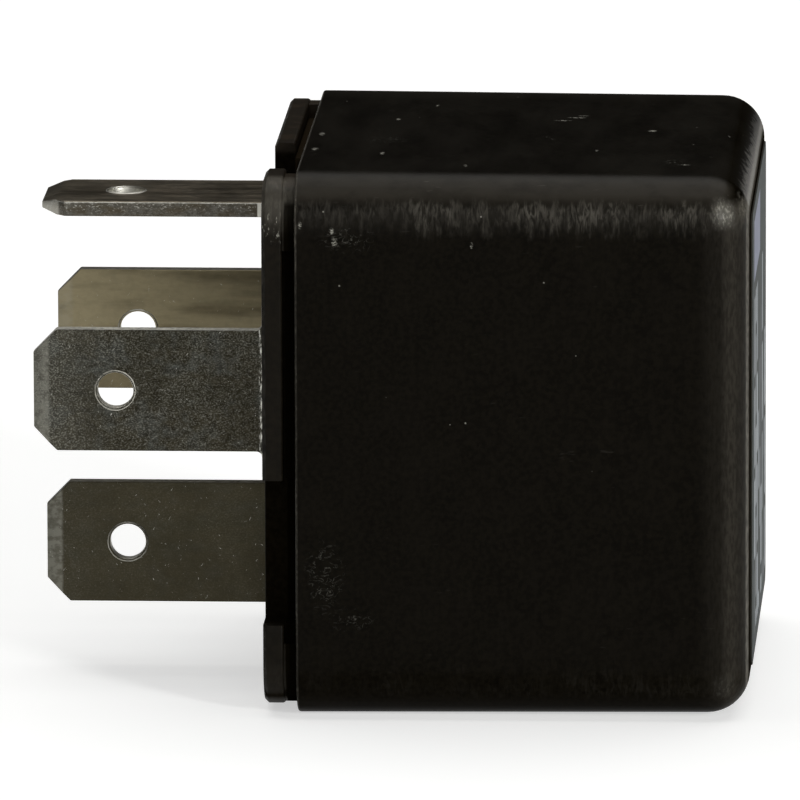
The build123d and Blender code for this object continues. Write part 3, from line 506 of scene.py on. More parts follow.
def cover_plastic(look):
    """Injection-moulded black polyamide: semi-matt, with rubbed edges, handling marks and dust, and
    painted highlights on its rounded edges, lip and end.
    """
    finish = Finish("moulded_black_polyamide", {})
    x, y, z = finish.x, finish.y, finish.z
    across, up, corner = finish.from_middle()
    # Painted highlight: the edges are lightened less towards the lower side, which the overhead light
    # misses
    lit_side = finish.ramp(z, 0, 9, 0.12, 1)
    below_top = finish.ramp(z, 13.0, 12.6)
    before_flat = finish.ramp(x, *BEFORE_FLAT)
    # Painted highlight and rubbing on the two upper long edges, which catch the overhead light: the half
    # next to the upper side is evenly lightened, and the half next to the near or far side in marks that
    # wander.
    # The lower ones, which the light misses, are hardly lightened
    wander = finish.ramp(finish.noise(0.3, (1, 3, 3), 19, 4), 0.3, 0.7, -0.55, 0.35)
    edge = finish.ramp(finish.math("ADD", corner, wander), ROUNDING_START - 0.7, ROUNDING_START + 1.0)
    tops = finish.both(
        finish.ramp(across, ROUNDING_START + 0.2, 12.8), finish.ramp(up, 12.45, 13.1), lit_side,
        finish.ramp(x, 24.1, 23.4), finish.ramp(finish.noise(0.8, (1.5, 1, 1), 73, 5), 0.3, 0.6, 0.7, 1),
    )
    uneven = finish.math("ADD", up, finish.math("MULTIPLY", wander, 0.5))
    sides = finish.both(
        edge, finish.ramp(uneven, 12.9, 12.3), lit_side, finish.ramp(x, 3.0, 8.0, 0.4, 1)
    )
    # Scuffs and a painted highlight line on the mouth's lip, and smears with a painted sheen on the
    # upright rounding at the closed end
    lip = finish.both(finish.ramp(x, LIP_X + 0.15, LIP_X + 0.06), finish.ramp(z, 8, 12, 0.5, 1))
    end = finish.both(
        finish.math("MAXIMUM", finish.ramp(x, 22.0, 23.0, 0, 0.3), finish.ramp(x, 23.0, 23.75)),
        finish.ramp(x, 24.35, 23.95, 0.6, 1), below_top, before_flat,
    )
    # A thin painted highlight line runs where the end meets the sides, and a broad patch of scuffs with
    # painted highlight where it meets the top
    rim = finish.both(finish.band(x, 24.52, 24.6, 24.66, 24.72), below_top)
    jitter = finish.ramp(finish.noise(0.45, (1, 1.5, 1), 79, 5), 0.3, 0.7, -0.2, 0.2)
    ragged = finish.math("ADD", x, jitter)
    crest = finish.both(
        finish.ramp(ragged, 24.25, 24.45), before_flat,
        finish.ramp(z, 11.8, 12.3), finish.ramp(y, 9.0, -2.0, 0.25, 1),
    )
    # Painted highlight, the hot spot of the lamp to the right, on the corners where the long edges meet
    # the end
    corner_highlight = finish.both(
        finish.band(x, 22.7, 23.4, 23.7, 24.2), finish.band(up, 11.3, 12.1, 12.5, 13.2),
        finish.ramp(across, 13.0, 13.5), lit_side,
    )
    # The far edge of the upper side is rubbed brown
    far_edge = finish.both(finish.ramp(y, 9.0, 12.5), finish.ramp(z, 13.5, 13.9))
    clouds = finish.cloud((0.4, 0.68), look.patch_size / MM, (0.7, 1.3, 1), detail=5, twist=0.6)
    top_patches = finish.both(
        finish.cloud((0.35, 0.7), 2.6, (1, 3, 1), 71, 6), finish.ramp(z, 13.4, 13.9)
    )
    mottle = finish.cloud((0.36, 0.64), 0.26, detail=4, shift=91)
    streaks = finish.cloud((0.5, 0.74), 0.22, (1, 1, 9), 3, 4)
    smears = finish.cloud((0.3, 0.7), 0.14, (1, 1, 3.5), 83, 4)
    # The edges are rubbed in short marks that run round them, which also break up their painted highlight
    rubs = finish.cloud((0.34, 0.7), 0.2, (1, 4, 4), 11, 3, 1.2)
    fine_rubs_and_highlight = finish.cloud((0.4, 0.75), 0.1, (1, 2, 2), 23, 3)
    patchy = finish.cloud((0.3, 0.6), 2.5, (1, 2, 2), 17, 3)
    scuffs = finish.both(
        finish.cloud((0.66, 0.74), 0.1, (9, 1.5, 1.5), 7, 3),
        finish.cloud((0.56, 0.64), 2.2, (1.5, 1, 1), 29, 2),
        finish.ramp(z, 12.0, 13.5, 0.06, 0.2),
    )
    marks = finish.both(
        finish.marked(MARKS), finish.cloud((0.42, 0.62), 0.07, (2.5, 1.2, 1), 37, 3)
    )
    # A thin line runs wherever this pattern crosses its middle value
    winding = finish.math("SUBTRACT", finish.noise(0.5, (1.6, 1, 1), 59, 2, 1.5), 0.5)
    curls = finish.ramp(finish.math("ABSOLUTE", winding, 0), 0.02, 0.0)
    hairs = finish.both(
        finish.marked(HAIRLINES), curls, finish.cloud((0.4, 0.6), 0.3, shift=61)
    )
    specks = finish.dots(look.speck_spacing / MM, 0.06, 0.08)
    finish.wire("Base Color", finish.layered(
        look.cover_colour,
        (clouds, 0.25, look.handled_colour),
        (mottle, 0.5, look.handled_colour),
        (streaks, clouds, 0.4, look.handled_colour),
        (top_patches, 0.2, look.rub_and_highlight_colour),
        (tops, 0.95, look.rub_and_highlight_colour),
        (sides, finish.between(rubs, 0.34, 0.72), look.rub_and_highlight_colour),
        (sides, rubs, patchy, 0.4, look.mark_and_highlight_colour),
        (end, finish.between(smears, 0.45, 0.95), look.rub_and_highlight_colour),
        (rim, finish.between(smears, 0.3, 0.8), look.mark_and_highlight_colour),
        (crest, finish.between(fine_rubs_and_highlight, 0.2, 0.75), look.mark_and_highlight_colour),
        (lip, finish.between(fine_rubs_and_highlight, 0.35, 1), look.mark_and_highlight_colour),
        (corner_highlight, finish.between(fine_rubs_and_highlight, 0.15, 0.5), look.dust_and_highlight_colour),
        (far_edge, 0.3, look.rub_and_highlight_colour),
        (scuffs, look.mark_and_highlight_colour),
        (hairs, 0.15, look.dust_and_highlight_colour),
        (specks, 0.4, look.dust_and_highlight_colour),
        (marks, 0.75, look.dust_and_highlight_colour),
    ))
    # The edges and the upper side shine more than the flat sides
    shine = finish.ramp(
        finish.math("MAXIMUM", corner, finish.math("SUBTRACT", z, 2.3)), 10.8, 11.6, 0.035, 0.055
    )
    # Dull places: the end round the label, the underside, the far part of the end's upper rounding,
    # and the part of that rounding short of its patch of scuffs and painted highlight
    round_label = finish.both(finish.ramp(x, 24.6, 24.7), below_top)
    underside = finish.ramp(z, -10.6, -12.0, 0, 0.8)
    far_end = finish.both(
        finish.ramp(y, -6.0, 10.0, 0.1, 0.65), finish.ramp(x, 23.5, 24.2), finish.ramp(z, 11.6, 12.2)
    )
    above_patch = finish.both(
        finish.ramp(x, 23.4, 23.7), finish.ramp(z, 12.75, 12.95),
        finish.ramp(ragged, 24.45, 24.15, 0, 0.9),
    )
    dull = (finish.less(each) for each in (round_label, underside, far_end, above_patch))
    finish.wire("Specular IOR Level", finish.both(shine, *dull))
    rough = finish.between(finish.both(streaks, clouds), 0.36, 0.44)
    finish.wire("Roughness", finish.math("SUBTRACT", rough, finish.both(corner_highlight, 0.1)))
    relief = finish.bump(finish.noise(look.grain_size / MM, shift=5), 0.008, 0.3)
    relief = finish.bump(finish.both(rubs, sides), 0.02, 0.4, relief)
    finish.wire("Normal", finish.bump(clouds, 0.01, 0.3, relief))
    return finish.material


def base_plastic(look):
    """Injection-moulded black polyamide, glass-filled: matt and plain, with a painted highlight on its
    upper corners, painted light in the upper groove and painted shade on the corner spacers.
    """
    finish = Finish("moulded_glass_filled_polyamide", {})
    x, z = finish.x, finish.z
    across, up, corner = finish.from_middle()
    round_rim = finish.ramp(finish.math("MAXIMUM", across, up), 13.0, 13.3)
    outside = finish.math("MAXIMUM", round_rim, finish.ramp(x, 0.08, 0.02))
    front = finish.both(finish.ramp(x, 0.25, 0.1), round_rim)
    # Painted highlight with some rubbing: the rounded long edges, lightened most near the top where the
    # light catches them
    edge = finish.both(finish.ramp(corner, 10.8, 11.8), finish.ramp(z, 0, 9, 0.15, 1))
    crown_highlight = finish.both(finish.ramp(corner, 11.0, 12.0), finish.ramp(z, 11.4, 12.4))
    rubs = finish.cloud((0.4, 0.7), 0.2, (1, 3, 3), 11, 3, 0.8)
    clouds = finish.cloud((0.45, 0.75), 1.6, detail=5)
    mottle = finish.cloud((0.36, 0.64), 0.3, detail=4, shift=93)
    # Bright nicks just below the upper corners
    nicks = finish.both(
        finish.cloud((0.58, 0.68), 0.11, (1, 1.5, 3), 41, 3),
        finish.band(z, 10.4, 11.0, 11.7, 12.3), finish.ramp(x, 1.1, 0.9),
    )
    specks = finish.dots(look.speck_spacing / MM, 0.06, 0.15)
    # Painted light, coloured like dust, in the shaded upper groove behind the flange; and dust lies
    # thinly on top of the flange
    inner = finish.ramp(across, 12.5, 12.3)
    groove = finish.both(finish.ramp(x, 1.0, 1.1), finish.ramp(z, 11.8, 12.3), inner)
    flange_top = finish.both(finish.ramp(x, 1.1, 1.0), finish.ramp(z, 13.0, 13.3), inner)
    # Painted shade: the corner spacers, set back behind the flange, are darkened and lose their shine
    spacer_shade = finish.both(finish.ramp(x, 1.1, 1.2), finish.ramp(z, 12.8, 12.4))
    finish.wire("Base Color", finish.layered(
        look.base_colour,
        (clouds, 0.7, look.handled_colour),
        (outside, 0.5, look.handled_colour),
        (mottle, 0.55, look.cover_colour),
        (edge, 0.9, look.rub_and_highlight_colour),
        (edge, rubs, 0.2, look.mark_and_highlight_colour),
        (crown_highlight, 0.22, look.mark_and_highlight_colour),
        (front, rubs, 0.2, look.mark_and_highlight_colour),
        (groove, 0.2, look.groove_dust_and_light_colour),
        (flange_top, finish.between(clouds, 0.08, 0.2), look.groove_dust_and_light_colour),
        (spacer_shade, 0.85, look.cover_colour),
        (nicks, outside, 0.6, look.dust_and_highlight_colour),
        (specks, 0.5, look.dust_and_highlight_colour),
    ))
    finish.wire("Specular IOR Level", finish.both(outside, finish.less(spacer_shade), 0.07))
    finish.wire("Roughness", finish.between(clouds, 0.5, 0.42))
    finish.wire("Normal", finish.bump(finish.noise(look.grain_size / MM, shift=2), 0.015, 0.4))
    return finish.material


def tinned_brass(name, look, tarnish_and_light, grains, smears, smeared_below):
    """Tin-plated brass strip, rolled and handled: dull and dark, with bright grains, scratches and a
    painted highlight at the root.
    """
    finish = Finish(name, METAL)
    x, z = finish.x, finish.z
    grain = look.grain_size / MM
    cloud = finish.cloud((0.35, 0.7), 2.4, detail=4, shift=1)
    smear = finish.math(
        "MAXIMUM", finish.cloud((0.4, 0.68), 0.9, (9, 1, 1.2), 21, 4),
        finish.ramp(z, smeared_below + 0.7, smeared_below, 0, 0.8),
    )
    patches = finish.cloud((0.45, 0.7), 1.1, shift=67)
    mottle = finish.cloud((0.38, 0.66), 0.3, (1.6, 1, 1), 31, 5)
    tip = finish.ramp(x, -11.1, -11.3)
    tip_wear = finish.between(mottle, 0.65 * (1 - smears), 0.3 * (1 - smears))
    near_tip = finish.ramp(x, -7.0, -11.5)
    # A painted highlight at the blade's root, where its shoulders begin and catch the light: a broken
    # bright line
    root = finish.both(
        finish.band(x, -0.46, -0.4, -0.3, -0.24), finish.cloud((0.46, 0.6), 0.12, (1, 1, 4), 43, 3)
    )
    spots = finish.cloud((0.46, 0.68), grain, (1.4, 1, 1), 4, 5)
    # Larger, sparser flecks among the fine grains
    flecks = finish.cloud((0.6, 0.68), 2 * grain, (1.3, 1, 1), 87, 4)
    along = finish.cloud((0.62, 0.8), 0.05, (12, 1, 1), 9, 3)
    # Single scratches: thin lines where a turned, long pattern peaks
    scratches = finish.cloud((0.72, 0.78), 0.07, (16, 1.2, 1.2), 13, 2, 0.4, turn=(0, 0.7, 0.4))
    crossed = finish.cloud((0.72, 0.78), 0.06, (14, 1.2, 1.2), 47, 2, 0.4, turn=(0, -0.9, -0.5))
    density = finish.math(
        "MAXIMUM", finish.between(cloud, 0.6 * grains, grains),
        finish.both(near_tip, min(1.0, 1.5 * grains)),
    )
    finish.wire("Base Color", finish.layered(
        tarnish_and_light,
        (smear, smears, look.smear_colour),
        (patches, grains, look.cool_colour),
        (mottle, 1.6 * grains, look.stain_colour),
        (near_tip, 0.2 * grains, look.worn_colour),
        (spots, density, look.worn_colour),
        (along, density, 0.4, look.worn_colour),
        (flecks, 0.8 * grains, look.worn_colour),
        (scratches, 0.45, look.scratch_and_highlight_colour),
        (crossed, 0.45, look.scratch_and_highlight_colour),
        (tip, tip_wear, look.worn_colour),
        (root, 0.9, look.scratch_and_highlight_colour),
    ))
    finish.wire("Roughness", finish.between(cloud, 0.42, 0.34))
    relief = finish.bump(finish.math("ADD", spots, mottle), 0.004, 0.4 * grains + 0.05)
    finish.wire("Normal", finish.bump(finish.noise(0.09, (14, 1, 1), 9, 2), 0.004, 0.3, relief))
    return finish.material


def sheared_brass(name, look, clean, hole):
    """Stamped edge of the plated strip: torn across its thickness, brightest where it is rubbed, with
    painted highlights at the upper blade's root and upper arris.
    """
    finish = Finish(name, METAL)
    x, z = finish.x, finish.z
    tears = finish.cloud((0.4, 0.62), 0.1, (2, 1, 1), 2, 4)
    dull = finish.cloud((0.4, 0.65), 0.35, (3, 1, 1), 6, 4)
    flecks = finish.both(
        finish.cloud((0.54, 0.7), 0.08, (1.5, 1, 1), 53, 3), finish.ramp(z, 10.15, 10.6, 0.12, 0.42)
    )
    # The wall of the hole and the cut corners are bright, and on the upper blade the root's sides and
    # the upper arris carry a painted highlight
    wall = finish.between(finish.mark(*hole), 0, 0.8)
    corners = finish.ramp(x, -11.0, -11.15, 0, 0.4)
    root = finish.both(finish.band(x, -0.86, -0.8, -0.5, -0.4), finish.ramp(z, 9.9, 10.0))
    arris = finish.ramp(z, 10.68, 10.74)
    finish.wire("Base Color", finish.layered(
        look.edge_colour,
        (finish.between(tears, 0.5 * clean, clean), look.sheared_and_highlight_colour),
        (dull, 0.6 * (1 - clean), look.smear_colour),
        (flecks, look.sheared_and_highlight_colour),
        (wall, look.sheared_and_highlight_colour),
        (corners, look.sheared_and_highlight_colour),
        (root, 0.9, look.sheared_and_highlight_colour),
        (arris, finish.between(tears, 0.5, 0.9), look.sheared_and_highlight_colour),
    ))
    finish.wire("Roughness", finish.between(tears, 0.5, 0.4 + 0.4 * clean))
    finish.wire("Normal", finish.bump(tears, 0.006, 0.5))
    return finish.material


def label_film(look):
    """Printed polyester film: dark, with one plain box and rows of plain pale bars, slightly rubbed."""
    finish = Finish("printed_polyester_film", {"Specular IOR Level": 0.003})
    row = look.row_height / MM
    bars_limit = LABEL_HALF_HEIGHT - look.border / MM
    inside = finish.both(
        finish.band(
            finish.y, -NEAR_ROWS * row - PRINT_SOFTNESS, -NEAR_ROWS * row,
            FAR_ROWS * row, FAR_ROWS * row + PRINT_SOFTNESS,
        ),
        finish.ramp(finish.math("ABSOLUTE", finish.z, 0), bars_limit, bars_limit - PRINT_SOFTNESS),
        finish.ramp(finish.z, BARS_TOP, BARS_TOP - PRINT_SOFTNESS),
    )
    # The bars stand upright: long along z, and in rows across y
    upright = add(finish.tree, "ShaderNodeCombineXYZ", links={"X": finish.z, "Y": finish.y})
    bars = add(
        finish.tree, "ShaderNodeTexBrick", {"offset": 0.5, "offset_frequency": 2},
        {
            "Color1": look.film_colour, "Color2": look.bar_colour, "Mortar": look.film_colour,
            "Scale": 1.0, "Mortar Size": 0.35, "Mortar Smooth": 0.05, "Bias": -0.12,
            "Brick Width": look.bar_length / MM, "Row Height": row,
        },
        {"Vector": upright.outputs["Vector"]},
    )
    box = finish.both(*(
        finish.band(place, low, low + PRINT_SOFTNESS, high - PRINT_SOFTNESS, high)
        for place, (low, high) in zip((finish.y, finish.z), LABEL_BOX)
    ))
    wear = finish.cloud((0.45, 0.75), 0.25, (1, 1, 14), 3, 4)
    # The cut edge shows the film's dark core
    cut = finish.ramp(finish.x, LABEL_FACE - 0.02, LABEL_FACE - 0.035)
    finish.wire("Base Color", finish.layered(
        look.film_colour,
        (inside, bars.outputs["Color"]),
        (box, look.box_colour),
        (wear, 0.1, look.bar_colour),
        (cut, look.cut_colour),
    ))
    finish.wire("Roughness", finish.between(wear, 0.38, 0.5))
    finish.wire("Normal", finish.bump(wear, 0.01, 0.3))
    return finish.material


def mottled(name, values, pattern, limits, colours, roughness):
    """Starts a material whose colour and roughness both follow one pattern, which it gives back too."""
    finish = Finish(name, values)
    mask = finish.cloud(limits, *pattern)
    finish.wire("Base Color", finish.mixed(mask, *(linear(each) for each in colours)))
    finish.wire("Roughness", finish.between(mask, *roughness))
    return finish, mask


def zinc_plate():
    """Mild steel with bright zinc plate: grey, faintly yellow, with a fine rolled grain."""
    finish, _ = mottled(
        "zinc_plated_steel", METAL, (1.8, EVEN, 0, 4), (0.35, 0.7), ("#b9b6a8", "#9c9a90"), (0.3, 0.42)
    )
    finish.wire("Normal", finish.bump(finish.noise(0.08, (1, 10, 1), 4, 3), 0.004, 0.4))
    return finish.material


def bronze_strip():
    """Phosphor bronze spring strip: rolled, warm and satin."""
    finish, rolled = mottled(
        "rolled_phosphor_bronze", METAL, (0.09, (1, 1, 18), 6), (0.35, 0.65),
        ("#c98d5c", "#b97e50"), (0.26, 0.36),
    )
    finish.wire("Normal", finish.bump(rolled, 0.003, 0.4))
    return finish.material


def enamelled_copper():
    """Enamelled copper wire, wound close: covered in fine glossy ribs."""
    finish = Finish(
        "enamelled_copper_wire",
        {"Metallic": 1.0, "Coat Weight": 0.6, "Coat Roughness": 0.12, "Roughness": 0.25},
    )
    # A rib is 2 pi / (20 * scale) wide, about 0.033 mm
    turns = add(
        finish.tree, "ShaderNodeTexWave", {"wave_type": "BANDS", "bands_direction": "X"},
        {"Scale": 9.646, "Distortion": 0.4, "Detail": 1.0, "Detail Scale": 0.4},
        {"Vector": finish.place},
    ).outputs["Fac"]
    shade = finish.cloud((0.3, 0.7), 0.8)
    copper = finish.mixed(shade, linear("#b3562c"), linear("#8e3f20"))
    furrows = finish.ramp(turns, 0.0, 0.4, 0.6, 0.0)
    finish.wire("Base Color", finish.mixed(furrows, copper, linear("#3c1a0e")))
    finish.wire("Normal", finish.bump(turns, 0.03, 0.8))
    return finish.material


def silver_alloy():
    """Silver-nickel contact rivet: pale, satin, slightly yellowed."""
    finish, _ = mottled(
        "silver_nickel_alloy", METAL, (0.5, EVEN, 0, 4), (0.4, 0.7), ("#dedcd2", "#c2b89c"), (0.28, 0.45)
    )
    return finish.material


def bobbin_plastic():
    """Moulded black polybutylene: matt, with a fine sparked grain."""
    finish, _ = mottled(
        "moulded_black_polybutylene", {"Specular IOR Level": 0.3}, (0.9, EVEN, 0, 4), (0.4, 0.7),
        ("#1d1d1d", "#272726"), (0.55, 0.45),
    )
    finish.wire("Normal", finish.bump(finish.noise(0.1, shift=3), 0.01, 0.4))
    return finish.material


def resistor_lacquer():
    """Dipped epoxy lacquer on a film resistor: glossy blue-green, slightly uneven."""
    finish, cloud = mottled(
        "dipped_epoxy_lacquer", {"Specular IOR Level": 0.5}, (0.7,), (0.4, 0.7),
        ("#3f7f8a", "#356f7a"), (0.2, 0.3),
    )
    finish.wire("Normal", finish.bump(cloud, 0.02, 0.4))
    return finish.material


def tinned_wire():
    """Tinned copper wire, drawn: bright with a satin skin."""
    finish, _ = mottled(
        "drawn_tinned_copper", METAL, (0.06, (1, 10, 10), 5), (0.35, 0.65),
        ("#cfcdc6", "#b4b2aa"), (0.25, 0.38),
    )
    return finish.material


class RELAY_OT_cover(Operator):
    """Dresses the deep moulded cover: a rounded lip and a worn plastic skin with painted highlights"""

    bl_idname = "relay.cover"
    bl_label = "Cover"

    def execute(self, context):
        look = context.scene.relay_mouldings
        cover = copied("cover", "moulded_cover")
        broken(cover, look.cover_break, look.break_rings)
        cover.data.materials.append(cover_plastic(look))
        settled(cover, "cover_plastic", "cover")
        return {"FINISHED"}


class RELAY_OT_base(Operator):
    """Dresses the notched base, with small roundings on its moulded edges"""

    bl_idname = "relay.base"
    bl_label = "Base"

    def execute(self, context):
        look = context.scene.relay_mouldings
        base = copied("base", "moulded_base")
        broken(base, look.base_break, 2)
        base.data.materials.append(base_plastic(look))
        settled(base, "base_plastic", "base")
        return {"FINISHED"}


def burr(look, centre, out):
    """A low ragged ring of torn metal round a detent hole, on the face that the punch left last."""
    deselect()
    inner = DETENT_RADIUS + look.edge_break
    bpy.ops.mesh.primitive_circle_add(
        vertices=48, radius=inner, location=centre - out * look.burr_height,
        rotation=out.to_track_quat("Z", "Y").to_euler(),
    )
    ring = bpy.context.active_object
    bpy.ops.object.mode_set(mode="EDIT")
    bpy.ops.mesh.select_all(action="SELECT")
    # Up to the crest, then out and back into the face
    radius = inner
    for share, rise, ragged in ((0.3, 2, 0.25), (0.7, -2, 0)):
        wider = radius + share * look.burr_width
        bpy.ops.mesh.extrude_edges_move(TRANSFORM_OT_translate={"value": out * rise * look.burr_height})
        growth = wider / radius - 1
        bpy.ops.transform.resize(
            value=[1 + growth * (1 - abs(each)) for each in out], center_override=centre
        )
        if ragged:
            bpy.ops.transform.vertex_random(
                offset=ragged * look.burr_height, seed=int(1e4 * centre.length)
            )
        radius = wider
    bpy.ops.mesh.select_all(action="DESELECT")
    bpy.ops.mesh.select_non_manifold()
    bpy.ops.mesh.bridge_edge_loops()
    bpy.ops.mesh.select_all(action="SELECT")
    bpy.ops.mesh.normals_make_consistent(inside=False)
    bpy.ops.object.mode_set(mode="OBJECT")
    bpy.ops.object.transform_apply(location=True, rotation=True, scale=True)
    bpy.ops.object.shade_smooth_by_angle(angle=CREASE_ANGLE)
    return ring


class RELAY_OT_blades(Operator):
    """Dresses the four blades: broken stamped edges, bright sheared sides and dull plated faces"""

    bl_idname = "relay.blades"
    bl_label = "Blades"

    def execute(self, context):
        look = context.scene.relay_blades
        # Each blade's tone (painted light: set lighter or darker for the light that the blade gets), how
        # much bright grain shows, how smeared it is, how clean its edges are
        looks = {
            "coil_blade_near": (look.near_colour, 0.45, 0.15, 0.95),
            "coil_blade_far": (look.far_colour, 0.06, 0.6, 0.3),
            "common_blade": (look.common_colour, 0.08, 0.15, 0.3),
            "switched_blade": (look.switched_colour, 0.2, 0.75, 0.1),
        }
        for node, name, (across, up), out in BLADES:
            blade = copied(node, name)
            broken(blade, look.edge_break, 2)
            ring = burr(look, Vector((DETENT_X, across * MM, up * MM)) + out * BLADE_HALF_THICKNESS, out)
            tarnish_and_light, grains, smears, clean = looks[name]
            plated = tinned_brass(
                f"{name}_tinned_brass", look, tarnish_and_light, grains, smears, up - SMEARED_BELOW
            )
            # A long mark through the hole, so that its whole wall lies near the mark's middle line
            reach = [HOLE_MARK[0] if abs(each) > 0.5 else HOLE_MARK[1] for each in out]
            hole = ((DETENT_X / MM, across, up), reach)
            sheared = sheared_brass(f"{name}_sheared_brass", look, clean, hole)
            # Faces that stand steeply to the strip's flat sides are sheared, and so is the whole burr
            for piece, steepest in ((blade, 0.4), (ring, 2)):
                piece.data.materials.append(plated)
                piece.data.materials.append(sheared)
                for face in piece.data.polygons:
                    face.material_index = int(abs(face.normal.dot(out)) < steepest)
            settled(joined(name, [blade, ring]), "tinned_blade", node)
        return {"FINISHED"}


class RELAY_OT_label(Operator):
    """Dresses the label: a thin film with softly rounded edges, a plain box and plain bars"""

    bl_idname = "relay.label"
    bl_label = "Label"

    def execute(self, context):
        look = context.scene.relay_label
        label = copied("label", "label_film")
        broken(label, look.edge_break, 2)
        label.data.materials.append(label_film(look))
        settled(label, "label_film", "label")
        return {"FINISHED"}


class RELAY_OT_inside(Operator):
    """Finishes the sealed works, each in what it is made of"""

    bl_idname = "relay.inside"
    bl_label = "Inside"

    def execute(self, context):
        finishes = {
            zinc_plate(): ("yoke", "core", "armature", "armature_rivets", "yoke_rivets"),
            bronze_strip(): ("contact_spring", "stop_bracket"),
            enamelled_copper(): ("coil_winding", "coil_lead_85", "coil_lead_86"),
            silver_alloy(): ("fixed_contact", "moving_contact"),
            bobbin_plastic(): ("bobbin",),
            resistor_lacquer(): ("resistor_body",),
            tinned_wire(): ("resistor_leads",),
        }
        for material, nodes in finishes.items():
            for node in nodes:
                for place in frame["nodes"][node].material_slots:
                    place.material = material
        return {"FINISHED"}


def softbox(name, target, azimuth, elevation, distance, width, height, brightness):
    """A flat lamp that faces the relay; azimuth is from straight on, elevation from the horizon."""
    away = Vector((sin(azimuth) * cos(elevation), -cos(azimuth) * cos(elevation), sin(elevation)))
    lamp = bpy.data.lights.new(name, "AREA")
    lamp.shape = "RECTANGLE"
    lamp.size = width
    lamp.size_y = height
    # A panel of this power looks as bright as its brightness says, where 1 is white
    lamp.energy = brightness * pi * width * height
    holder = bpy.data.objects.new(name, lamp)
    bpy.context.scene.collection.objects.link(holder)
    turn = away.to_track_quat("Z", "Y").to_matrix().to_4x4()
    holder.matrix_world = Matrix.Translation(target + away * distance) @ turn


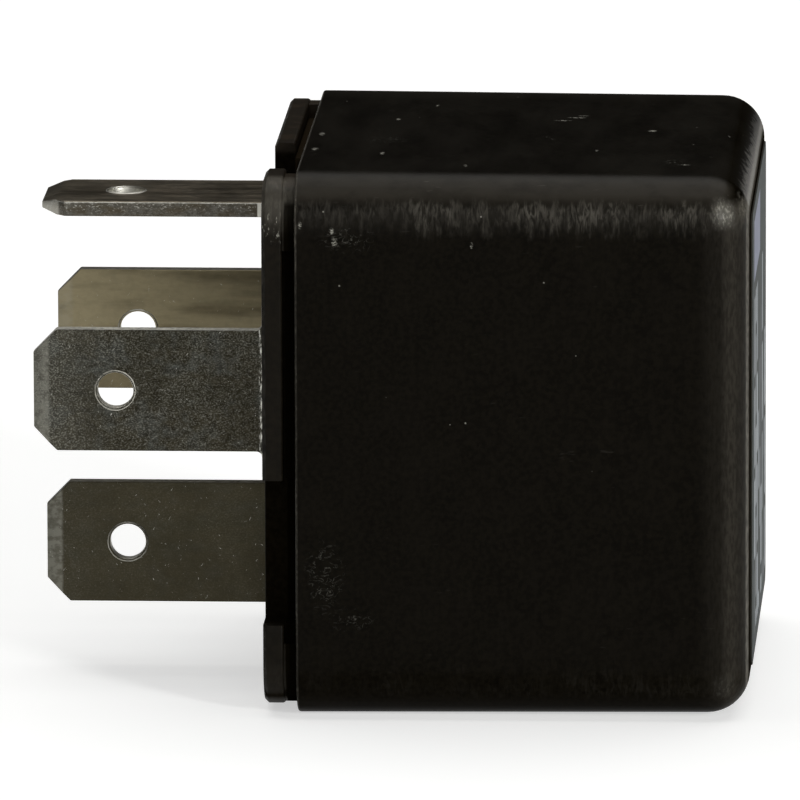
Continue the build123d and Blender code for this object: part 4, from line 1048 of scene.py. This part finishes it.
class RELAY_OT_stage(Operator):
    """Sets the camera, the pale floor, the softboxes and the dim room"""

    bl_idname = "relay.stage"
    bl_label = "Stage"

    def execute(self, context):
        stage = context.scene.relay_stage
        scene = context.scene
        target = Vector(stage.target)
        self.camera(scene, stage, target)
        self.floor(stage)
        self.room(scene, stage)
        for name, azimuth, elevation, distance, width, height, brightness in LAMPS:
            softbox(
                name, target, radians(azimuth), radians(elevation), distance, width, height,
                getattr(stage, brightness),
            )
        scene.view_settings.view_transform = "Standard"
        return {"FINISHED"}

    def camera(self, scene, stage, target):
        """The photograph's viewpoint."""
        away = Vector((
            sin(stage.azimuth) * cos(stage.elevation),
            -cos(stage.azimuth) * cos(stage.elevation),
            sin(stage.elevation),
        ))
        level = Vector((cos(stage.azimuth), sin(stage.azimuth), 0))
        upright = away.cross(level)
        right = cos(stage.roll) * level + sin(stage.roll) * upright
        top = cos(stage.roll) * upright - sin(stage.roll) * level
        lens = bpy.data.cameras.new("camera")
        lens.sensor_width = 36
        lens.lens = stage.focal_length
        lens.clip_start = 0.01
        holder = bpy.data.objects.new("camera", lens)
        scene.collection.objects.link(holder)
        turn = Matrix((right, top, away)).transposed().to_4x4()
        holder.matrix_world = Matrix.Translation(target + away * stage.distance) @ turn
        scene.camera = holder

    def floor(self, stage):
        """A plain pale floor under the relay. It reads as white and keeps the soft shadow."""
        deselect()
        bpy.ops.mesh.primitive_plane_add(size=stage.floor_size, location=(0, 0, FLOOR_LEVEL))
        floor = bpy.context.active_object
        floor.name = "floor"
        material = bpy.data.materials.new("pale_paper")
        material.use_nodes = True
        tree = material.node_tree
        shader = tree.nodes["Principled BSDF"]
        shader.inputs["Base Color"].default_value = stage.floor_colour
        shader.inputs["Roughness"].default_value = 0.9
        shader.inputs["Specular IOR Level"].default_value = 0.0
        rays = add(tree, "ShaderNodeLightPath")
        straight = add(
            tree, "ShaderNodeMath", {"operation": "MAXIMUM"},
            links={0: rays.outputs["Is Camera Ray"], 1: rays.outputs["Is Glossy Ray"]},
        )
        seen = add(
            tree, "ShaderNodeMath", {"operation": "MAXIMUM"},
            links={0: straight.outputs[0], 1: rays.outputs["Is Transmission Ray"]},
        )
        level = add(
            tree, "ShaderNodeMath", {"operation": "MULTIPLY"}, {1: FLOOR_GLOW}, {0: seen.outputs[0]}
        )
        shader.inputs["Emission Color"].default_value = (1, 1, 1, 1)
        tree.links.new(level.outputs[0], shader.inputs["Emission Strength"])
        floor.data.materials.append(material)

    def room(self, scene, stage):
        """A dim room: darker at the horizon than overhead, so that level tops stay dark."""
        world = bpy.data.worlds.new("room")
        scene.world = world
        world.use_nodes = True
        tree = world.node_tree
        place = add(tree, "ShaderNodeTexCoord")
        parts = add(tree, "ShaderNodeSeparateXYZ", links={"Vector": place.outputs["Generated"]})
        # From a little above the horizon to nearly overhead
        level = add(
            tree, "ShaderNodeMapRange",
            values={"From Min": 0.2, "From Max": 0.9, "To Min": stage.horizon, "To Max": stage.zenith},
            links={"Value": parts.outputs["Z"]},
        )
        tree.links.new(level.outputs["Result"], tree.nodes["Background"].inputs["Strength"])


class RELAY_PT_panel(Panel):
    """Lists the relay's pieces, its stage and their sizes and colours"""

    bl_idname = "RELAY_PT_panel"
    bl_label = "Relay"
    bl_space_type = "VIEW_3D"
    bl_region_type = "UI"
    bl_category = "Relay"

    def draw(self, context):
        for group, operators in (
            ("relay_mouldings", ("relay.cover", "relay.base")),
            ("relay_blades", ("relay.blades",)),
            ("relay_label", ("relay.label",)),
            (None, ("relay.inside",)),
            ("relay_stage", ("relay.stage",)),
        ):
            box = self.layout.box()
            for name in operators:
                box.operator(name)
            if group:
                look = getattr(context.scene, group)
                for name in look.__annotations__:
                    box.prop(look, name)


GROUPS = {
    "relay_mouldings": RelayMouldings,
    "relay_blades": RelayBlades,
    "relay_label": RelayLabel,
    "relay_stage": RelayStage,
}
CLASSES = (
    *GROUPS.values(),
    RELAY_OT_cover, RELAY_OT_base, RELAY_OT_blades, RELAY_OT_label, RELAY_OT_inside, RELAY_OT_stage,
    RELAY_PT_panel,
)


def register():
    """Adds the classes and hangs the sizes and colours on the scene."""
    for each in CLASSES:
        bpy.utils.register_class(each)
    for name, group in GROUPS.items():
        setattr(bpy.types.Scene, name, PointerProperty(type=group))


def unregister():
    """Takes everything that register added away again."""
    for name in GROUPS:
        delattr(bpy.types.Scene, name)
    for each in reversed(CLASSES):
        bpy.utils.unregister_class(each)


def main():
    """Builds every piece in turn."""
    register()
    for step in ("cover", "base", "blades", "label", "inside", "stage"):
        getattr(bpy.ops.relay, step)()


if __name__ == "__main__":
    main()
